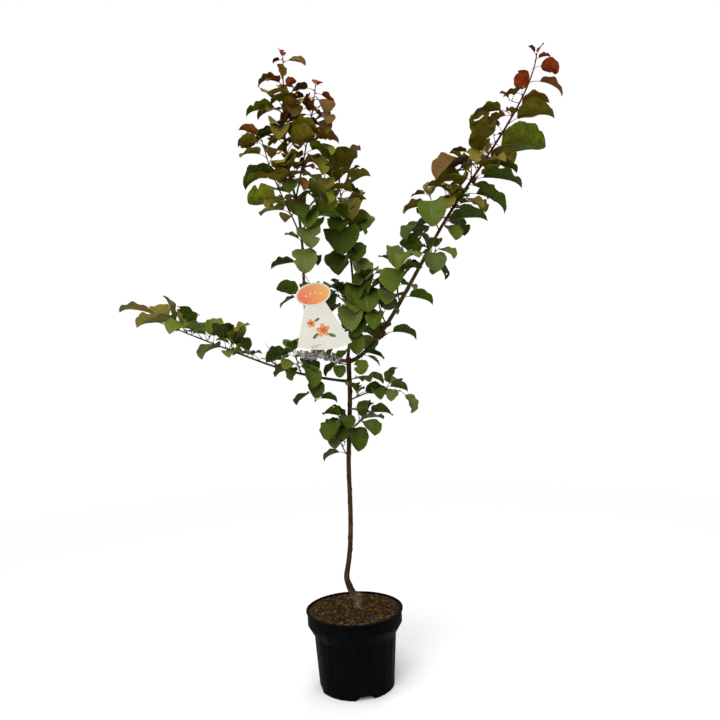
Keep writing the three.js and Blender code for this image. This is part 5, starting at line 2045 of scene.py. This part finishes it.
def make_strap(bough):
    """The strap from the header to its ring round the bough."""
    rings = bough["rings"]
    ring = min(rings, key=lambda r: abs(r["point"][2] - TAG["strap_height"]))
    wire = TAG["strap_wire"]
    radius = ring["radius"] + GAP + TAG["strap_slack"] + wire
    bm = bmesh.new()
    circle = bmesh.ops.create_circle(bm, segments=STRAP["facets"], radius=wire)["verts"]
    bmesh.ops.rotate(bm, cent=(0, 0, 0), matrix=Matrix.Rotation(math.pi / 2, 3, "X"), verts=circle)
    bmesh.ops.translate(bm, vec=(radius, 0, 0), verts=circle)
    edges = list({e for v in circle for e in v.link_edges})
    spin_round(bm, circle + edges, STRAP["ring_steps"])
    bmesh.ops.remove_doubles(bm, verts=bm.verts, dist=1e-4)
    basis = Matrix([ring["side"], -ring["front"], ring["tangent"]]).transposed().to_4x4()
    bmesh.ops.transform(bm, matrix=Matrix.Translation(ring["point"]) @ basis, verts=bm.verts)
    turn = math.radians(TAG["tilt"])
    eye = np.array((-math.sin(turn), 0, math.cos(turn))) * TAG["eye_height"]
    eye = np.array(TAG["centre"], float) + eye
    outward = eye - ring["point"]
    outward = unit(outward - ring["tangent"] * np.dot(outward, ring["tangent"]))
    hook = ring["point"] + outward * radius
    across = unit(np.cross(outward, UP))
    low = hook + outward * STRAP["out"] - UP * STRAP["down"]
    high = eye + across * STRAP["aside"] + UP * STRAP["up"]
    add_limb(bm, curve_rings([hook, low, high, eye], [wire, wire], STRAP["steps"]), STRAP["facets"])
    bmesh.ops.recalc_face_normals(bm, faces=bm.faces)
    finish_piece("tag_strap", bm, plain_material("strap_plastic"))


def floor_material():
    """A pale floor that fades into the pale room away from the plant."""
    material, tree, shader = new_material("pale_floor", roughness=0.85)
    grain = noise_on(tree, scale=40, detail=4)
    color = mixed(tree, grain, srgb("f2f2f0"), srgb("fafaf8"))
    feed(tree, shader, color, None, grain, depth=0.0004, strength=0.2)
    distance = add_node(tree, "VectorMath", {0: place_on(tree)}, operation="LENGTH").outputs["Value"]
    fade = ramp_to(tree, distance, FLOOR["near"], FLOOR["far"])
    clear = add_node(tree, "BsdfTransparent").outputs[0]
    blend = add_node(tree, "MixShader", {0: fade, 1: shader.outputs[0], 2: clear}).outputs[0]
    tree.links.new(blend, tree.nodes["Material Output"].inputs["Surface"])
    return material


def make_world():
    """A room that is white to look at and lights the plant more softly."""
    world = bpy.data.worlds.new("pale_room")
    world.use_nodes = True
    tree = world.node_tree
    seen = add_node(tree, "LightPath").outputs["Is Camera Ray"]
    background = tree.nodes["Background"]
    tree.links.new(ramp_to(tree, seen, 0, 1, ROOM_LIGHT, 1.0), background.inputs["Strength"])
    background.inputs["Color"].default_value = (1, 1, 1, 1)
    bpy.context.scene.world = world


def make_floor():
    """A round floor that ends beyond where it has faded out."""
    bm = bmesh.new()
    radius = FLOOR["far"] + FLOOR["margin"]
    bmesh.ops.create_circle(bm, cap_ends=True, segments=FLOOR["facets"], radius=radius)
    mesh = bpy.data.meshes.new("floor")
    bm.to_mesh(mesh)
    bm.free()
    floor = bpy.data.objects.new("floor", mesh)
    bpy.context.scene.collection.objects.link(floor)
    mesh.materials.append(floor_material())


def make_lights():
    """Soft lights from above, in front and behind, all aimed at the middle of the plant."""
    for name, (place, size, power) in LIGHTS.items():
        data = bpy.data.lights.new(name, "AREA")
        data.size = size
        data.energy = power
        light = bpy.data.objects.new(name, data)
        light.location = place
        aim = Vector(LIGHTS_AIM) - Vector(place)
        light.rotation_euler = aim.to_track_quat("-Z", "Y").to_euler()
        bpy.context.scene.collection.objects.link(light)


def make_camera():
    """A level camera at the photograph's height, rolled a little."""
    data = bpy.data.cameras.new("camera")
    data.lens = CAMERA["lens"]
    data.sensor_width = CAMERA["sensor"]
    roll = math.radians(CAMERA["roll"])
    c, s = math.cos(roll), math.sin(roll)
    turn = Matrix(((c, -s, 0), (0, 0, -1), (s, c, 0))).to_4x4()
    camera = bpy.data.objects.new("camera", data)
    camera.matrix_world = Matrix.Translation(CAMERA["place"]) @ turn
    bpy.context.scene.collection.objects.link(camera)
    bpy.context.scene.camera = camera
    bpy.context.scene.view_settings.view_transform = "Standard"


make_camera()
make_floor()
make_world()
make_lights()
boughs, shoots, spurs, leaves = plan_plant()
make_pot()
make_soil()
make_chips()
make_trunk()
make_stub()
make_boughs(boughs)
make_crust(boughs)
make_stems(shoots, spurs)
make_buds(leaves)
make_stalks(leaves)
make_leaves(leaves)
make_tag(boughs)
